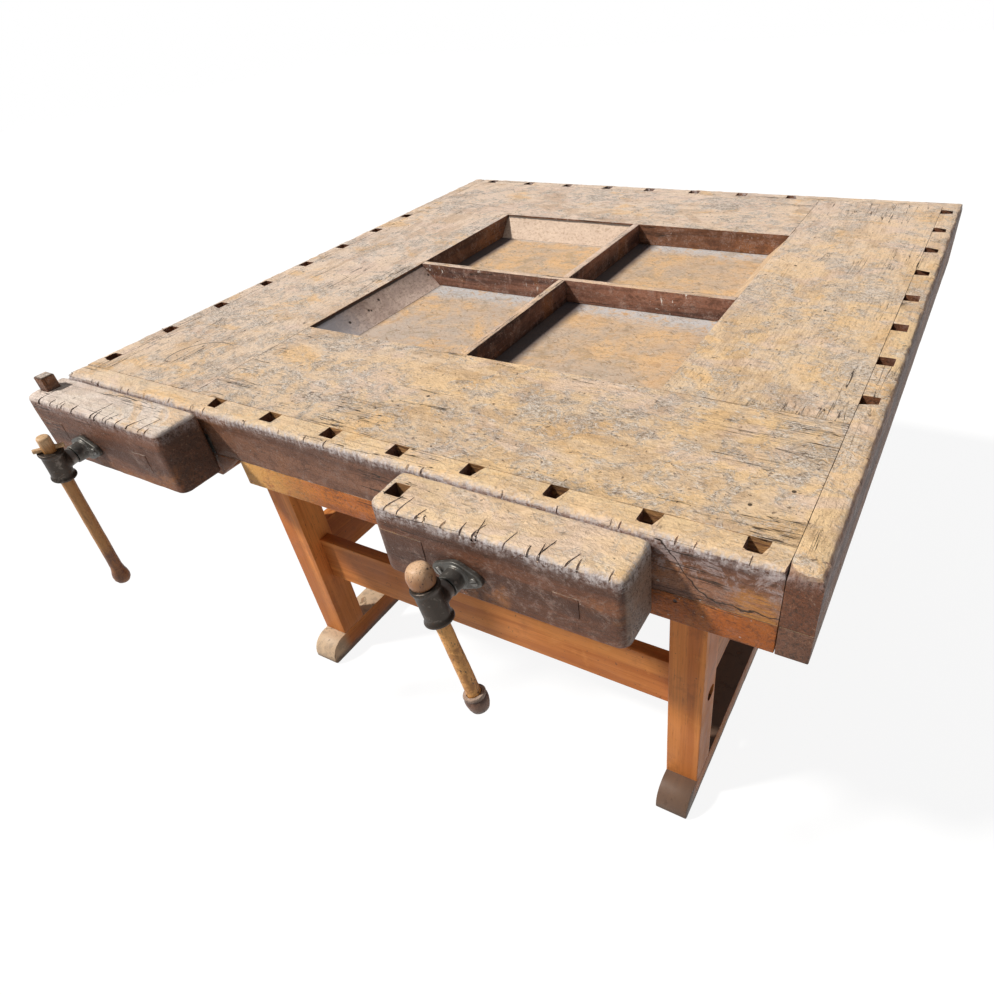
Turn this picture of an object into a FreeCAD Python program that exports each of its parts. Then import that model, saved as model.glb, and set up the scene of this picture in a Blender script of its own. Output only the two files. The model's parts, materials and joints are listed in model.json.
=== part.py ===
import FreeCAD, Part
import math
import os

# A square joiner's bench for four workers, with two screw vises on its front.
# Millimetres. +X runs right along the front, +Y to the back, +Z up.
# The origin is on the floor under the middle of the top.

V = FreeCAD.Vector
ORIGIN = V(0, 0, 0)
UP = V(0, 0, 1)

# Overall
top_side = 1350.0
bench_height = 840.0

# Top: planks round the tray, dog strips round the planks, laths under the strips
plank_width = 272.0
plank_thickness = 46.0
strip_width = 40.0
strip_drop = 40.0
lath_height = 48.0
worn_edge = 8.0
dog_hole_along = 26.0
dog_hole_across = 24.5
first_dog = 80.0
last_dog = 381.0
dog_count = 8
front_lath_gap = 6.0
vise_block_length = 416.0
vise_block_slope = 62.0

# Tray in the middle of the top
tray_floor_thickness = 12.0
tray_floor_lap = 25.0
divider_thickness = 16.0
ramp_run = 42.0
ramp_board = 14.0
ramp_lip = 3.0

# Trestles: feet, legs, side rails, bearers
leg_width = 66.0
leg_depth = 71.0
leg_side_inset = 171.0
leg_front_inset = 175.0
foot_height = 61.0
foot_end_inset = 119.0
foot_nose_radius = 46.0
foot_toe_radius = 9.0
bearer_height = 70.0
bearer_end_inset = 100.0
bearer_end_chamfer = 34.0
rail_thickness = 32.0
rail_height = 118.0
rail_bottom = 255.0
rail_tenon_height = 58.0
tenon_thickness = 22.0
tenon_shoulder = 11.0
tenon_depth = 36.0
tenon_clearance = 0.1
arris = 2.5

# Stretchers and their bolts
stretcher_thickness = 28.0
stretcher_height = 117.0
stretcher_bottom = 237.0
stretcher_front_inset = 207.0
stub_tenon_depth = 12.0
stub_tenon_shoulder = 8.0
bolt_radius = 5.0
bolt_head_side = 17.0
bolt_head_height = 7.0
bolt_recess_radius = 16.0
bolt_recess_depth = 15.0
bolt_bite = 74.0
washer_radius = 14.0
washer_thickness = 2.5
nut_side = 18.0
nut_thickness = 8.0
nut_set_back = 20.0
hole_clearance = 0.2
pocket_clearance = 1.0

# Screws that hold the bearers to the planks
bearer_screw_radius = 5.0
bearer_screw_bite = 26.0
bearer_screw_head_radius = 9.5
bearer_screw_head_height = 6.5
bearer_screw_end_inset = 22.0
bearer_screw_mid_offset = 275.0

# Vise jaws
jaw_length = 367.0
jaw_thickness = 79.0
jaw_height = 114.0
jaw_gap = 6.0
jaw_left_round = 22.0
jaw_right_round = 16.0
jaw_back_round = 9.0
jaw_top_wear = 8.0
jaw_under_wear = 4.0
left_jaw_start = 8.5
right_jaw_inset = 187.0
jaw_dog_along = 26.0
jaw_dog_set_back = 40.0
cover_length = 83.5
cover_drop = 40.0
cover_thickness = 26.0
plug_length = 34.0
plug_height = 32.0
plug_depth = 10.0

# Vise screws, with the flange on the jaw and the nut behind the strip
screw_radius = 12.5
screw_along = 137.0
screw_headroom = 26.0
screw_reach = 242.0
screw_end_chamfer = 2.5
screw_slot_gap = 1.2
neck_radius = 11.0
running_clearance = 0.05
turning_gap = 0.3
collar_radius = 17.0
collar_thickness = 6.0
flange_radius = 22.0
flange_ear_radius = 11.0
flange_ear_offset = 27.0
flange_thickness = 7.0
sleeve_radius = 15.5
sleeve_length = 21.0
sleeve_bead = 2.0
hub_reach = 57.0
hub_radius = 17.5
hub_length = 56.0
hub_rim_radius = 20.0
hub_rim_length = 6.0
hub_rim_round = 1.8
hub_throat_radius = 15.0
hub_shoulder_radius = 13.5
flange_screw_radius = 3.0
flange_screw_length = 30.0
flange_screw_head_radius = 6.0
flange_screw_head_height = 2.6
nut_barrel_radius = 19.5
nut_barrel_length = 34.0
nut_plate_length = 92.0
nut_plate_height = 38.0
nut_plate_thickness = 8.0

# Guide rods beside the screws
guide_radius = 9.0
guide_along = 289.5
guide_headroom = 21.0
guide_seat = 52.0
guide_reach = 246.0
guide_bush_radius = 13.0
guide_bush_length = 58.0
guide_plate_length = 136.0
guide_plate_height = 37.0
guide_plate_thickness = 4.0

# Handles that slide through the hubs
handle_gap = 0.4
seat_gap = 0.2
right_handle_radius = 10.6
right_handle_tilt = 10.5
right_handle_below = 194.0
right_head_radius = 18.0
right_head_seat_radius = 15.5
right_head_length = 31.0
right_head_crown_radius = 11.5
right_head_crown = 3.0
right_knob_radius = 17.0
right_knob_mouth_radius = 15.5
right_knob_length = 34.0
right_knob_socket = 20.0
left_handle_radius = 10.8
left_handle_tilt = -8.5
left_handle_above = 56.0
left_handle_below = 292.0
left_handle_end_round = 2.0
left_knob_radius = 15.5
left_knob_length = 46.0
handle_pin_radius = 4.0
handle_pin_length = 46.0
handle_pin_turn = 120.0

# Bench dog in the left jaw
dog_clearance = 0.3
dog_stands = 25.0
dog_length = 122.0
dog_chamfer = 2.0

overrun = 5.0
match_tolerance = 0.01

# Shares of the form that they belong to
knob_swell_share = 0.62
knob_end_share = 0.55
head_belly_share = 0.46

# Places that follow from the sizes above
half_top = top_side / 2
dog_pitch = (top_side - first_dog - last_dog) / (dog_count - 1)
front_lath_start = vise_block_length + front_lath_gap
right_jaw_start = top_side - right_jaw_inset - jaw_length
well_edge = strip_width + plank_width
half_well = half_top - well_edge
plank_bottom = bench_height - plank_thickness
strip_bottom = plank_bottom - strip_drop
lath_bottom = strip_bottom - lath_height
bearer_bottom = plank_bottom - bearer_height
leg_centre_x = half_top - leg_side_inset - leg_width / 2
leg_centre_y = half_top - leg_front_inset - leg_depth / 2
stretcher_centre_y = half_top - stretcher_front_inset - stretcher_thickness / 2
stretcher_middle = stretcher_bottom + stretcher_height / 2
half_stretcher = leg_centre_x - leg_width / 2
tenon_length = leg_depth - 2 * tenon_shoulder
front_face = -half_top
jaw_back = front_face - jaw_gap
jaw_front = jaw_back - jaw_thickness
jaw_bottom = bench_height - jaw_height
screw_height = plank_bottom - screw_headroom
guide_height = plank_bottom - guide_headroom
screw_slot_radius = screw_radius + screw_slot_gap
hub_y = jaw_front - hub_reach
recess_depth = collar_thickness + 2 * turning_gap
half_hub = hub_length / 2

os.makedirs("parts", exist_ok=True)


# General forms

def block(x0, x1, y0, y1, z0, z1):
    """A box between two opposite corners."""
    return Part.makeBox(x1 - x0, y1 - y0, z1 - z0, V(x0, y0, z0))


def centred(centre, length, depth, height):
    """A box round a centre point."""
    corner = centre - V(length / 2, depth / 2, height / 2)
    return Part.makeBox(length, depth, height, corner)


def round_bar(radius, start, end):
    """A cylinder from one point to another."""
    run = end - start
    return Part.makeCylinder(radius, run.Length, start, run)


def prism(points, travel):
    """A flat outline pushed along a vector."""
    return Part.Face(Part.makePolygon(points + points[:1])).extrude(travel)


def turned(edges, axis_point, axis):
    """A lathe form from the edges of a closed half outline."""
    face = Part.Face(Part.Wire(Part.__sortEdges__(edges)))
    return face.revolve(axis_point, axis, 360)


def line(start, end):
    return Part.LineSegment(start, end).toShape()


def arc(start, middle, end):
    return Part.Arc(start, middle, end).toShape()


def quarter_turned(shape, quarters):
    """A copy turned about the middle of the bench by quarter turns."""
    copy = shape.copy()
    copy.rotate(ORIGIN, UP, 90 * quarters)
    return copy


def edges_where(shape, test):
    """The edges whose ends all pass a test on their point."""
    return [edge for edge in shape.Edges if all(test(vertex.Point) for vertex in edge.Vertexes)]


def near(value, target):
    return abs(value - target) < match_tolerance


def eased(shape, size, test):
    """The shape with the edges that pass a test rounded."""
    return shape.makeFillet(size, edges_where(shape, test))


def save(name, shape):
    shape.exportStep("parts/" + name + ".step")


# The top

def dog_notches(low, high):
    """Square dog holes as notches in the inner side of the front strip."""
    notches = []
    for place in range(dog_count):
        middle = half_top - first_dog - place * dog_pitch
        notches.append(block(middle - dog_hole_along / 2, middle + dog_hole_along / 2,
                             front_face + strip_width - dog_hole_across,
                             front_face + strip_width + overrun,
                             low - overrun, high + overrun))
    return Part.makeCompound(notches)


def make_plank():
    """The front plank, from the left plank's side to the right strip."""
    return block(-half_top + well_edge, half_top - strip_width,
                 front_face + strip_width, front_face + well_edge,
                 plank_bottom, bench_height)


def make_strip():
    """The front dog strip, with its outer edge worn round."""
    bar = block(-half_top, half_top - strip_width, front_face, front_face + strip_width,
                strip_bottom, bench_height)
    worn = eased(bar, worn_edge, lambda p: near(p.z, bench_height) and near(p.y, front_face))
    return worn.cut(dog_notches(strip_bottom, bench_height))


def make_lath(start):
    """The lath under the front strip, from a distance along the front."""
    bar = block(-half_top + start, half_top - strip_width, front_face, front_face + strip_width,
                lath_bottom, strip_bottom)
    worn = eased(bar, arris, lambda p: near(p.z, lath_bottom) and near(p.y, front_face))
    return worn.cut(dog_notches(lath_bottom, strip_bottom))


def make_vise_block():
    """The block under the left end of the front strip, with a sloped end."""
    left = -half_top
    outline = [V(left, front_face, strip_bottom),
               V(left + vise_block_length, front_face, strip_bottom),
               V(left + vise_block_length - vise_block_slope, front_face, lath_bottom),
               V(left, front_face, lath_bottom)]
    body = prism(outline, V(0, strip_width, 0))
    return body.cut(dog_notches(lath_bottom, strip_bottom))


def vise_passages(start):
    """The room that a vise's screw and guide bush take in the front edge."""
    screw_x = -half_top + start + screw_along
    guide_x = -half_top + start + guide_along
    before = V(0, front_face - overrun, 0)
    behind = V(0, front_face + screw_reach + overrun, 0)
    screw_bore = round_bar(screw_slot_radius, before + V(screw_x, 0, screw_height),
                           behind + V(screw_x, 0, screw_height))
    bush_bore = round_bar(guide_bush_radius + tenon_clearance, before + V(guide_x, 0, guide_height),
                          V(guide_x, front_face + guide_bush_length, guide_height))
    rod_bore = round_bar(guide_radius + turning_gap, before + V(guide_x, 0, guide_height),
                         behind + V(guide_x, 0, guide_height))
    return screw_bore.fuse(bush_bore).fuse(rod_bore)


def vise_openings_in_strip(start):
    """Passages in the strip: the screw's slot is open below, the bush plate is let in."""
    screw_x = -half_top + start + screw_along
    guide_x = -half_top + start + guide_along
    slot = block(screw_x - screw_slot_radius, screw_x + screw_slot_radius,
                 front_face - overrun, front_face + strip_width + overrun,
                 strip_bottom - overrun, screw_height)
    plate = block(guide_x - guide_plate_length / 2, guide_x + guide_plate_length / 2,
                  front_face - overrun, front_face + guide_plate_thickness,
                  guide_height - guide_plate_height / 2, guide_height + guide_plate_height / 2)
    return vise_passages(start).fuse(slot).fuse(plate)


def make_top():
    sides = ("front", "right", "back", "left")
    starts = (left_jaw_start, right_jaw_start)
    plank, strip, lath = make_plank(), make_strip(), make_lath(0)
    screw_holes = bearer_screws(hole_clearance)
    for quarters, side in enumerate(sides):
        one_plank = quarter_turned(plank, quarters).cut(screw_holes)
        one_strip = quarter_turned(strip, quarters)
        one_lath = quarter_turned(lath, quarters)
        if side == "front":
            one_lath = make_lath(front_lath_start)
            for start in starts:
                one_plank = one_plank.cut(vise_passages(start))
                one_strip = one_strip.cut(vise_openings_in_strip(start))
                one_lath = one_lath.cut(vise_passages(start))
        save(side + "_plank", one_plank)
        save(side + "_dog_strip", one_strip)
        save(side + "_lath", one_lath)
    save("left_vise_block", make_vise_block().cut(vise_passages(left_jaw_start)))


# The tray

def make_ramp():
    """The sloped board at the back wall of the back left compartment."""
    wall = half_well
    top = bench_height - ramp_lip
    outline = [V(-half_well, wall, top),
               V(-half_well, wall, top - ramp_board),
               V(-half_well, wall - ramp_run + ramp_board, plank_bottom),
               V(-half_well, wall - ramp_run, plank_bottom)]
    return prism(outline, V(half_well - divider_thickness / 2, 0, 0))


def make_tray():
    reach = half_well + tray_floor_lap
    save("tray_floor", block(-reach, reach, -reach, reach,
                             plank_bottom - tray_floor_thickness, plank_bottom))
    middle = (plank_bottom + bench_height) / 2
    thick = divider_thickness / 2
    board = block(-half_well, half_well, -thick, thick, plank_bottom, bench_height)
    notch = block(-thick, thick, -thick - overrun, thick + overrun, plank_bottom - overrun, middle)
    save("cross_divider", board.cut(notch))
    long_notch = block(-thick, thick, -thick - overrun, thick + overrun, middle, bench_height + overrun)
    save("long_divider", quarter_turned(board.cut(long_notch), 1))
    corners = ("back_left", "front_left", "front_right", "back_right")
    for quarters, corner in enumerate(corners):
        save(corner + "_ramp", quarter_turned(make_ramp(), quarters))


# The trestles

def leg_tenon(x, y, low, high, grow):
    """A tenon on a leg's end, or its mortise when it grows."""
    half_thick = tenon_thickness / 2 + grow
    half_long = tenon_length / 2 + grow
    return block(x - half_thick, x + half_thick, y - half_long, y + half_long, low, high)


def rail_tenon(side, end, grow):
    """A side rail's tenon in a leg, or its mortise when it grows."""
    x = side * leg_centre_x
    inner = leg_centre_y - leg_depth / 2
    half_thick = tenon_thickness / 2 + grow
    top = rail_bottom + rail_height - tenon_shoulder
    lows = sorted((end * inner, end * (inner + tenon_depth + grow)))
    return block(x - half_thick, x + half_thick, lows[0], lows[1],
                 top - rail_tenon_height - grow, top + grow)


def stub_tenon(side, end, grow):
    """A stretcher's short tenon in a leg's inner side, or its mortise."""
    half_thick = stretcher_thickness / 2 - stub_tenon_shoulder + grow
    rise = stretcher_height / 2 - stub_tenon_shoulder + grow
    y = end * stretcher_centre_y
    xs = sorted((side * half_stretcher, side * (half_stretcher + stub_tenon_depth + grow)))
    return block(xs[0], xs[1], y - half_thick, y + half_thick,
                 stretcher_middle - rise, stretcher_middle + rise)


def bolt_line(side, end):
    """The outer face of a leg and the inward direction, on a stretcher bolt's axis."""
    outer = V(side * (leg_centre_x + leg_width / 2), end * stretcher_centre_y, stretcher_middle)
    return outer, V(-side, 0, 0)


def bolt_bore(side, end):
    """The recess for a bolt's head and the hole for its shank."""
    outer, inward = bolt_line(side, end)
    recess = round_bar(bolt_recess_radius, outer - inward * overrun, outer + inward * bolt_recess_depth)
    reach = leg_width + bolt_bite + overrun
    return recess.fuse(round_bar(bolt_radius + hole_clearance, outer, outer + inward * reach))


def make_leg(side, end):
    x, y = side * leg_centre_x, end * leg_centre_y
    post = block(x - leg_width / 2, x + leg_width / 2, y - leg_depth / 2, y + leg_depth / 2,
                 foot_height, bearer_bottom)
    corners = [edge for edge in post.Edges if near(edge.BoundBox.ZLength, bearer_bottom - foot_height)]
    post = post.makeFillet(arris, corners)
    lower = leg_tenon(x, y, foot_height - tenon_depth, foot_height + overrun, 0)
    upper = leg_tenon(x, y, bearer_bottom - overrun, bearer_bottom + tenon_depth, 0)
    leg = post.fuse(lower).fuse(upper).removeSplitter()
    leg = leg.cut(rail_tenon(side, end, tenon_clearance)).cut(stub_tenon(side, end, tenon_clearance))
    return leg.cut(bolt_bore(side, end))


def nose_arc(x, end, radius, height, rise):
    """A quarter round at an end of a foot, above (+1) or below (-1) the height of its centre."""
    centre = V(x, end * (half_top - foot_end_inset - radius), height)
    lean = math.sqrt(0.5) * radius
    tip, crest = centre + V(0, end * radius, 0), centre + V(0, 0, rise * radius)
    return arc(tip, centre + V(0, end * lean, rise * lean), crest), tip, crest


def make_foot(side):
    """A sled foot with rounded noses, mortised for two legs."""
    x = side * leg_centre_x - leg_width / 2
    edges, crests, toes = [], [], []
    for end in (-1, 1):
        nose, nose_tip, crest = nose_arc(x, end, foot_nose_radius, foot_height - foot_nose_radius, 1)
        toe, toe_tip, sole = nose_arc(x, end, foot_toe_radius, foot_toe_radius, -1)
        edges += [nose, toe, line(toe_tip, nose_tip)]
        crests.append(crest)
        toes.append(sole)
    edges += [line(*crests), line(*toes)]
    outline = Part.Wire(Part.__sortEdges__(edges))
    bar = Part.Face(outline).extrude(V(leg_width, 0, 0))
    for end in (-1, 1):
        bar = bar.cut(leg_tenon(side * leg_centre_x, end * leg_centre_y,
                                foot_height - tenon_depth - tenon_clearance,
                                foot_height + overrun, tenon_clearance))
    return bar


def make_bearer(side):
    """The beam on top of two legs, cut back at its lower ends."""
    x = side * leg_centre_x - leg_width / 2
    reach = half_top - bearer_end_inset
    outline = [V(x, -reach, plank_bottom), V(x, reach, plank_bottom),
               V(x, reach, bearer_bottom + bearer_end_chamfer),
               V(x, reach - bearer_end_chamfer, bearer_bottom),
               V(x, -reach + bearer_end_chamfer, bearer_bottom),
               V(x, -reach, bearer_bottom + bearer_end_chamfer)]
    beam = prism(outline, V(leg_width, 0, 0))
    for end in (-1, 1):
        beam = beam.cut(leg_tenon(side * leg_centre_x, end * leg_centre_y, bearer_bottom - overrun,
                                  bearer_bottom + tenon_depth + tenon_clearance, tenon_clearance))
    return beam.cut(bearer_screws(hole_clearance))


def make_side_rail(side):
    """The rail between the two legs of a trestle."""
    x = side * leg_centre_x
    reach = leg_centre_y - leg_depth / 2
    rail = block(x - rail_thickness / 2, x + rail_thickness / 2, -reach, reach,
                 rail_bottom, rail_bottom + rail_height)
    rail = rail.makeFillet(arris, [edge for edge in rail.Edges if near(edge.BoundBox.YLength, 2 * reach)])
    for end in (-1, 1):
        rail = rail.fuse(rail_tenon(side, end, 0))
    return rail.removeSplitter()


def nut_centre(side, end):
    outer, inward = bolt_line(side, end)
    return outer + inward * (leg_width + bolt_bite - nut_set_back)


def make_stretcher(end):
    """A long board between the trestles, bored and slotted for its bolts and nuts."""
    y = end * stretcher_centre_y
    board = block(-half_stretcher, half_stretcher, y - stretcher_thickness / 2,
                  y + stretcher_thickness / 2, stretcher_bottom, stretcher_bottom + stretcher_height)
    long_edges = [edge for edge in board.Edges if near(edge.BoundBox.XLength, 2 * half_stretcher)]
    board = board.makeFillet(arris, long_edges)
    for side in (-1, 1):
        board = board.fuse(stub_tenon(side, end, 0))
    board = board.removeSplitter()
    for side in (-1, 1):
        nut = nut_centre(side, end)
        fit = nut_side + 2 * pocket_clearance
        pocket = centred(nut, nut_thickness + 2 * pocket_clearance, fit, fit)
        way_in = centred(nut - V(0, end * stretcher_thickness / 2, 0),
                         nut_thickness + 2 * pocket_clearance, stretcher_thickness, fit)
        board = board.cut(pocket).cut(way_in).cut(bolt_bore(side, end))
    return board


def make_trestles():
    for side, hand in ((-1, "left"), (1, "right")):
        save(hand + "_foot", make_foot(side))
        save(hand + "_bearer", make_bearer(side))
        save(hand + "_side_rail", make_side_rail(side))
        for end, place in ((-1, "front"), (1, "back")):
            save(place + "_" + hand + "_leg", make_leg(side, end))
    save("front_stretcher", make_stretcher(-1))
    save("back_stretcher", make_stretcher(1))
    save("bearer_screws", bearer_screws(0))


def square_bar(start, direction, side_length, length):
    """A square bar along X from a point."""
    middle = start + direction * (length / 2)
    return centred(middle, length, side_length, side_length)


def make_stretcher_bolts():
    bolts, nuts = [], []
    for side in (-1, 1):
        for end in (-1, 1):
            outer, inward = bolt_line(side, end)
            seat = outer + inward * bolt_recess_depth
            washer_face = seat - inward * washer_thickness
            shank_end = outer + inward * (leg_width + bolt_bite)
            head = square_bar(washer_face, inward * -1, bolt_head_side, bolt_head_height)
            bolts.append(head.fuse(round_bar(bolt_radius, washer_face, shank_end)).removeSplitter())
            washer = round_bar(washer_radius, washer_face, seat)
            bolts.append(washer.cut(round_bar(bolt_radius + hole_clearance, washer_face - inward * overrun,
                                              seat + inward * overrun)))
            middle = nut_centre(side, end)
            nut = centred(middle, nut_thickness, nut_side, nut_side)
            nuts.append(nut.cut(round_bar(bolt_radius + hole_clearance, outer, shank_end)))
    save("stretcher_bolts", Part.makeCompound(bolts))
    save("stretcher_nuts", Part.makeCompound(nuts))


def bearer_screws(grow):
    """Screws up through the bearers into the planks, or their holes when they grow."""
    reach = half_top - bearer_end_inset - bearer_end_chamfer - bearer_screw_end_inset
    screws = []
    for side in (-1, 1):
        for y in (-reach, -bearer_screw_mid_offset, bearer_screw_mid_offset, reach):
            foot = V(side * leg_centre_x, y, bearer_bottom)
            tip = foot + UP * (bearer_height + bearer_screw_bite + grow)
            screw = round_bar(bearer_screw_radius + grow, foot, tip)
            if grow == 0:
                head = round_bar(bearer_screw_head_radius, foot - UP * bearer_screw_head_height, foot)
                screw = screw.fuse(head).removeSplitter()
            screws.append(screw)
    return Part.makeCompound(screws)


# The vises

def jaw_blank(left):
    """A jaw with its rounded ends and worn edges, before it is bored."""
    right = left + jaw_length
    blank = block(left, right, jaw_front, jaw_back, jaw_bottom, bench_height)
    corners = ((left, jaw_front, jaw_left_round), (right, jaw_front, jaw_right_round),
               (left, jaw_back, jaw_back_round), (right, jaw_back, jaw_back_round))
    for x, y, size in corners:
        blank = eased(blank, size, lambda p: near(p.x, x) and near(p.y, y))
    blank = eased(blank, jaw_top_wear, lambda p: near(p.z, bench_height))
    return eased(blank, jaw_under_wear, lambda p: near(p.z, jaw_bottom))


def jaw_dog_hole(left):
    across = dog_hole_across
    middle = V(left + jaw_dog_along, jaw_back - jaw_dog_set_back, bench_height - jaw_height / 2)
    return centred(middle, across, across, jaw_height + 2 * overrun)


def plug_block(left):
    """The wooden plug in front of a guide rod's end."""
    middle = V(left + guide_along, jaw_front + plug_depth / 2, guide_height)
    return centred(middle, plug_length, plug_depth, plug_height)


def make_jaw(hand, left):
    blank = jaw_blank(left)
    cover_space = block(left - overrun, left + cover_length, jaw_front - overrun,
                        jaw_front + cover_thickness, jaw_bottom - overrun, bench_height - cover_drop)
    save(hand + "_jaw_cover", blank.common(cover_space))
    screw_at = V(left + screw_along, 0, screw_height)
    bore = round_bar(screw_slot_radius, screw_at + V(0, jaw_front - overrun, 0),
                     screw_at + V(0, jaw_back + overrun, 0))
    recess = round_bar(collar_radius + turning_gap, screw_at + V(0, jaw_front - overrun, 0),
                       screw_at + V(0, jaw_front + recess_depth, 0))
    guide_at = V(left + guide_along, 0, guide_height)
    seat = round_bar(guide_radius + tenon_clearance, guide_at + V(0, jaw_back - guide_seat, 0),
                     guide_at + V(0, jaw_back + overrun, 0))
    jaw = blank.cut(cover_space).cut(jaw_dog_hole(left)).cut(plug_block(left))
    jaw = jaw.cut(bore).cut(recess).cut(seat).cut(flange_screws(left, hole_clearance))
    save(hand + "_jaw", jaw)
    save(hand + "_guide_plug", plug_block(left))


def flange_outline(centre):
    """The flange's outline: a disc between two ears, joined by tangents."""
    lean = math.acos((flange_radius - flange_ear_radius) / flange_ear_offset)
    across, up = math.cos(lean), math.sin(lean)

    def at(x, z):
        return centre + V(x, 0, z)

    def disc(x_sign, z_sign):
        return at(x_sign * flange_radius * across, z_sign * flange_radius * up)

    def ear(x_sign, z_sign):
        return at(x_sign * (flange_ear_offset + flange_ear_radius * across), z_sign * flange_ear_radius * up)

    tip = flange_ear_offset + flange_ear_radius
    return Part.Wire([arc(disc(-1, 1), at(0, flange_radius), disc(1, 1)), line(disc(1, 1), ear(1, 1)),
                      arc(ear(1, 1), at(tip, 0), ear(1, -1)), line(ear(1, -1), disc(1, -1)),
                      arc(disc(1, -1), at(0, -flange_radius), disc(-1, -1)), line(disc(-1, -1), ear(-1, -1)),
                      arc(ear(-1, -1), at(-tip, 0), ear(-1, 1)), line(ear(-1, 1), disc(-1, 1))])


def flange_screws(left, grow):
    """Two round-headed screws through the flange's ears, or their holes."""
    screws = []
    for sign in (-1, 1):
        seat = V(left + screw_along + sign * flange_ear_offset, jaw_front - flange_thickness, screw_height)
        tip = seat + V(0, flange_screw_length + grow, 0)
        screw = round_bar(flange_screw_radius + grow, seat - V(0, grow, 0), tip)
        if grow == 0:
            head = round_bar(flange_screw_head_radius, seat - V(0, flange_screw_head_height, 0), seat)
            rim = edges_where(head, lambda p: near(p.y, seat.y - flange_screw_head_height))
            head = head.makeFillet(flange_screw_head_height / 2, rim)
            screw = screw.fuse(head).removeSplitter()
        screws.append(screw)
    return Part.makeCompound(screws)


def make_flange(hand, left):
    face = V(left + screw_along, jaw_front, screw_height)
    outward = V(0, -1, 0)
    plate = Part.Face(flange_outline(face)).extrude(outward * flange_thickness)
    front_rim = [edge for edge in plate.Edges if near(edge.CenterOfMass.y, jaw_front - flange_thickness)]
    plate = plate.makeFillet(flange_thickness / 4, front_rim)
    mouth = face + outward * (flange_thickness + sleeve_length)
    sleeve = round_bar(sleeve_radius, face, mouth)
    bead = round_bar(sleeve_radius + sleeve_bead, face + outward * flange_thickness,
                     face + outward * (flange_thickness + sleeve_bead))
    flange = plate.fuse(sleeve).fuse(bead).removeSplitter()
    bore = round_bar(neck_radius + running_clearance, face - outward * overrun, mouth + outward * overrun)
    save(hand + "_flange", flange.cut(bore).cut(flange_screws(left, hole_clearance)))
    save(hand + "_flange_screws", flange_screws(left, 0))


def handle_axis(tilt):
    """The upward direction of a handle that leans by a tilt in degrees."""
    lean = math.radians(tilt)
    return V(-math.sin(lean), 0, math.cos(lean))


def make_screw(hand, left, bore_radius, tilt):
    """A vise screw: hub with a cross bore, neck, trapped collar and shaft."""
    axis = V(left + screw_along, 0, screw_height)
    hub = axis + V(0, hub_y, 0)
    along = handle_axis(tilt)
    tube = round_bar(hub_radius, hub - along * half_hub, hub + along * half_hub)
    for sign in (-1, 1):
        tip = hub + along * (sign * half_hub)
        rim = round_bar(hub_rim_radius, tip - along * (sign * hub_rim_length), tip)
        rim = rim.makeFillet(hub_rim_round, [edge for edge in rim.Edges if len(edge.Vertexes) == 1])
        tube = tube.fuse(rim)
    shoulder = jaw_front - flange_thickness - sleeve_length - turning_gap
    throat = Part.makeCone(hub_throat_radius, hub_shoulder_radius, shoulder - hub_y, hub, V(0, 1, 0))
    neck = round_bar(neck_radius, axis + V(0, shoulder - overrun, 0), axis + V(0, jaw_front + overrun, 0))
    collar = round_bar(collar_radius, axis + V(0, jaw_front + turning_gap, 0),
                       axis + V(0, jaw_front + turning_gap + collar_thickness, 0))
    shaft = round_bar(screw_radius, axis + V(0, jaw_front + turning_gap, 0),
                      axis + V(0, front_face + screw_reach, 0))
    end_rim = edges_where(shaft, lambda p: near(p.y, front_face + screw_reach))
    shaft = shaft.makeChamfer(screw_end_chamfer, end_rim)
    cross_bore = round_bar(bore_radius, hub - along * hub_length, hub + along * hub_length)
    body = tube.fuse(throat).fuse(neck).fuse(collar).fuse(shaft).removeSplitter()
    save(hand + "_screw", body.cut(cross_bore))


def make_nut(hand, left):
    """The nut on the back of the strip that the screw runs in."""
    back = V(left + screw_along, front_face + strip_width, screw_height)
    plate = centred(back + V(0, nut_plate_thickness / 2, 0),
                    nut_plate_length, nut_plate_thickness, nut_plate_height)
    corners = [edge for edge in plate.Edges if near(edge.BoundBox.YLength, nut_plate_thickness)]
    plate = plate.makeFillet(nut_plate_height / 4, corners)
    barrel = round_bar(nut_barrel_radius, back, back + V(0, nut_barrel_length, 0))
    bore = round_bar(screw_radius + running_clearance, back - V(0, overrun, 0),
                     back + V(0, nut_barrel_length + overrun, 0))
    save(hand + "_nut", plate.fuse(barrel).removeSplitter().cut(bore))


def make_guide(hand, left):
    """A guide rod fixed in the jaw, and its bush in the bench's edge."""
    axis = V(left + guide_along, 0, guide_height)
    save(hand + "_guide_rod", round_bar(guide_radius, axis + V(0, jaw_back - guide_seat, 0),
                                        axis + V(0, front_face + guide_reach, 0)))
    plate = centred(axis + V(0, front_face + guide_plate_thickness / 2, 0),
                    guide_plate_length, guide_plate_thickness, guide_plate_height)
    bush = round_bar(guide_bush_radius, axis + V(0, front_face, 0),
                     axis + V(0, front_face + guide_bush_length, 0))
    bore = round_bar(guide_radius + running_clearance, axis + V(0, front_face - overrun, 0),
                     axis + V(0, front_face + guide_bush_length + overrun, 0))
    save(hand + "_guide_bush", plate.fuse(bush).removeSplitter().cut(bore))


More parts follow.
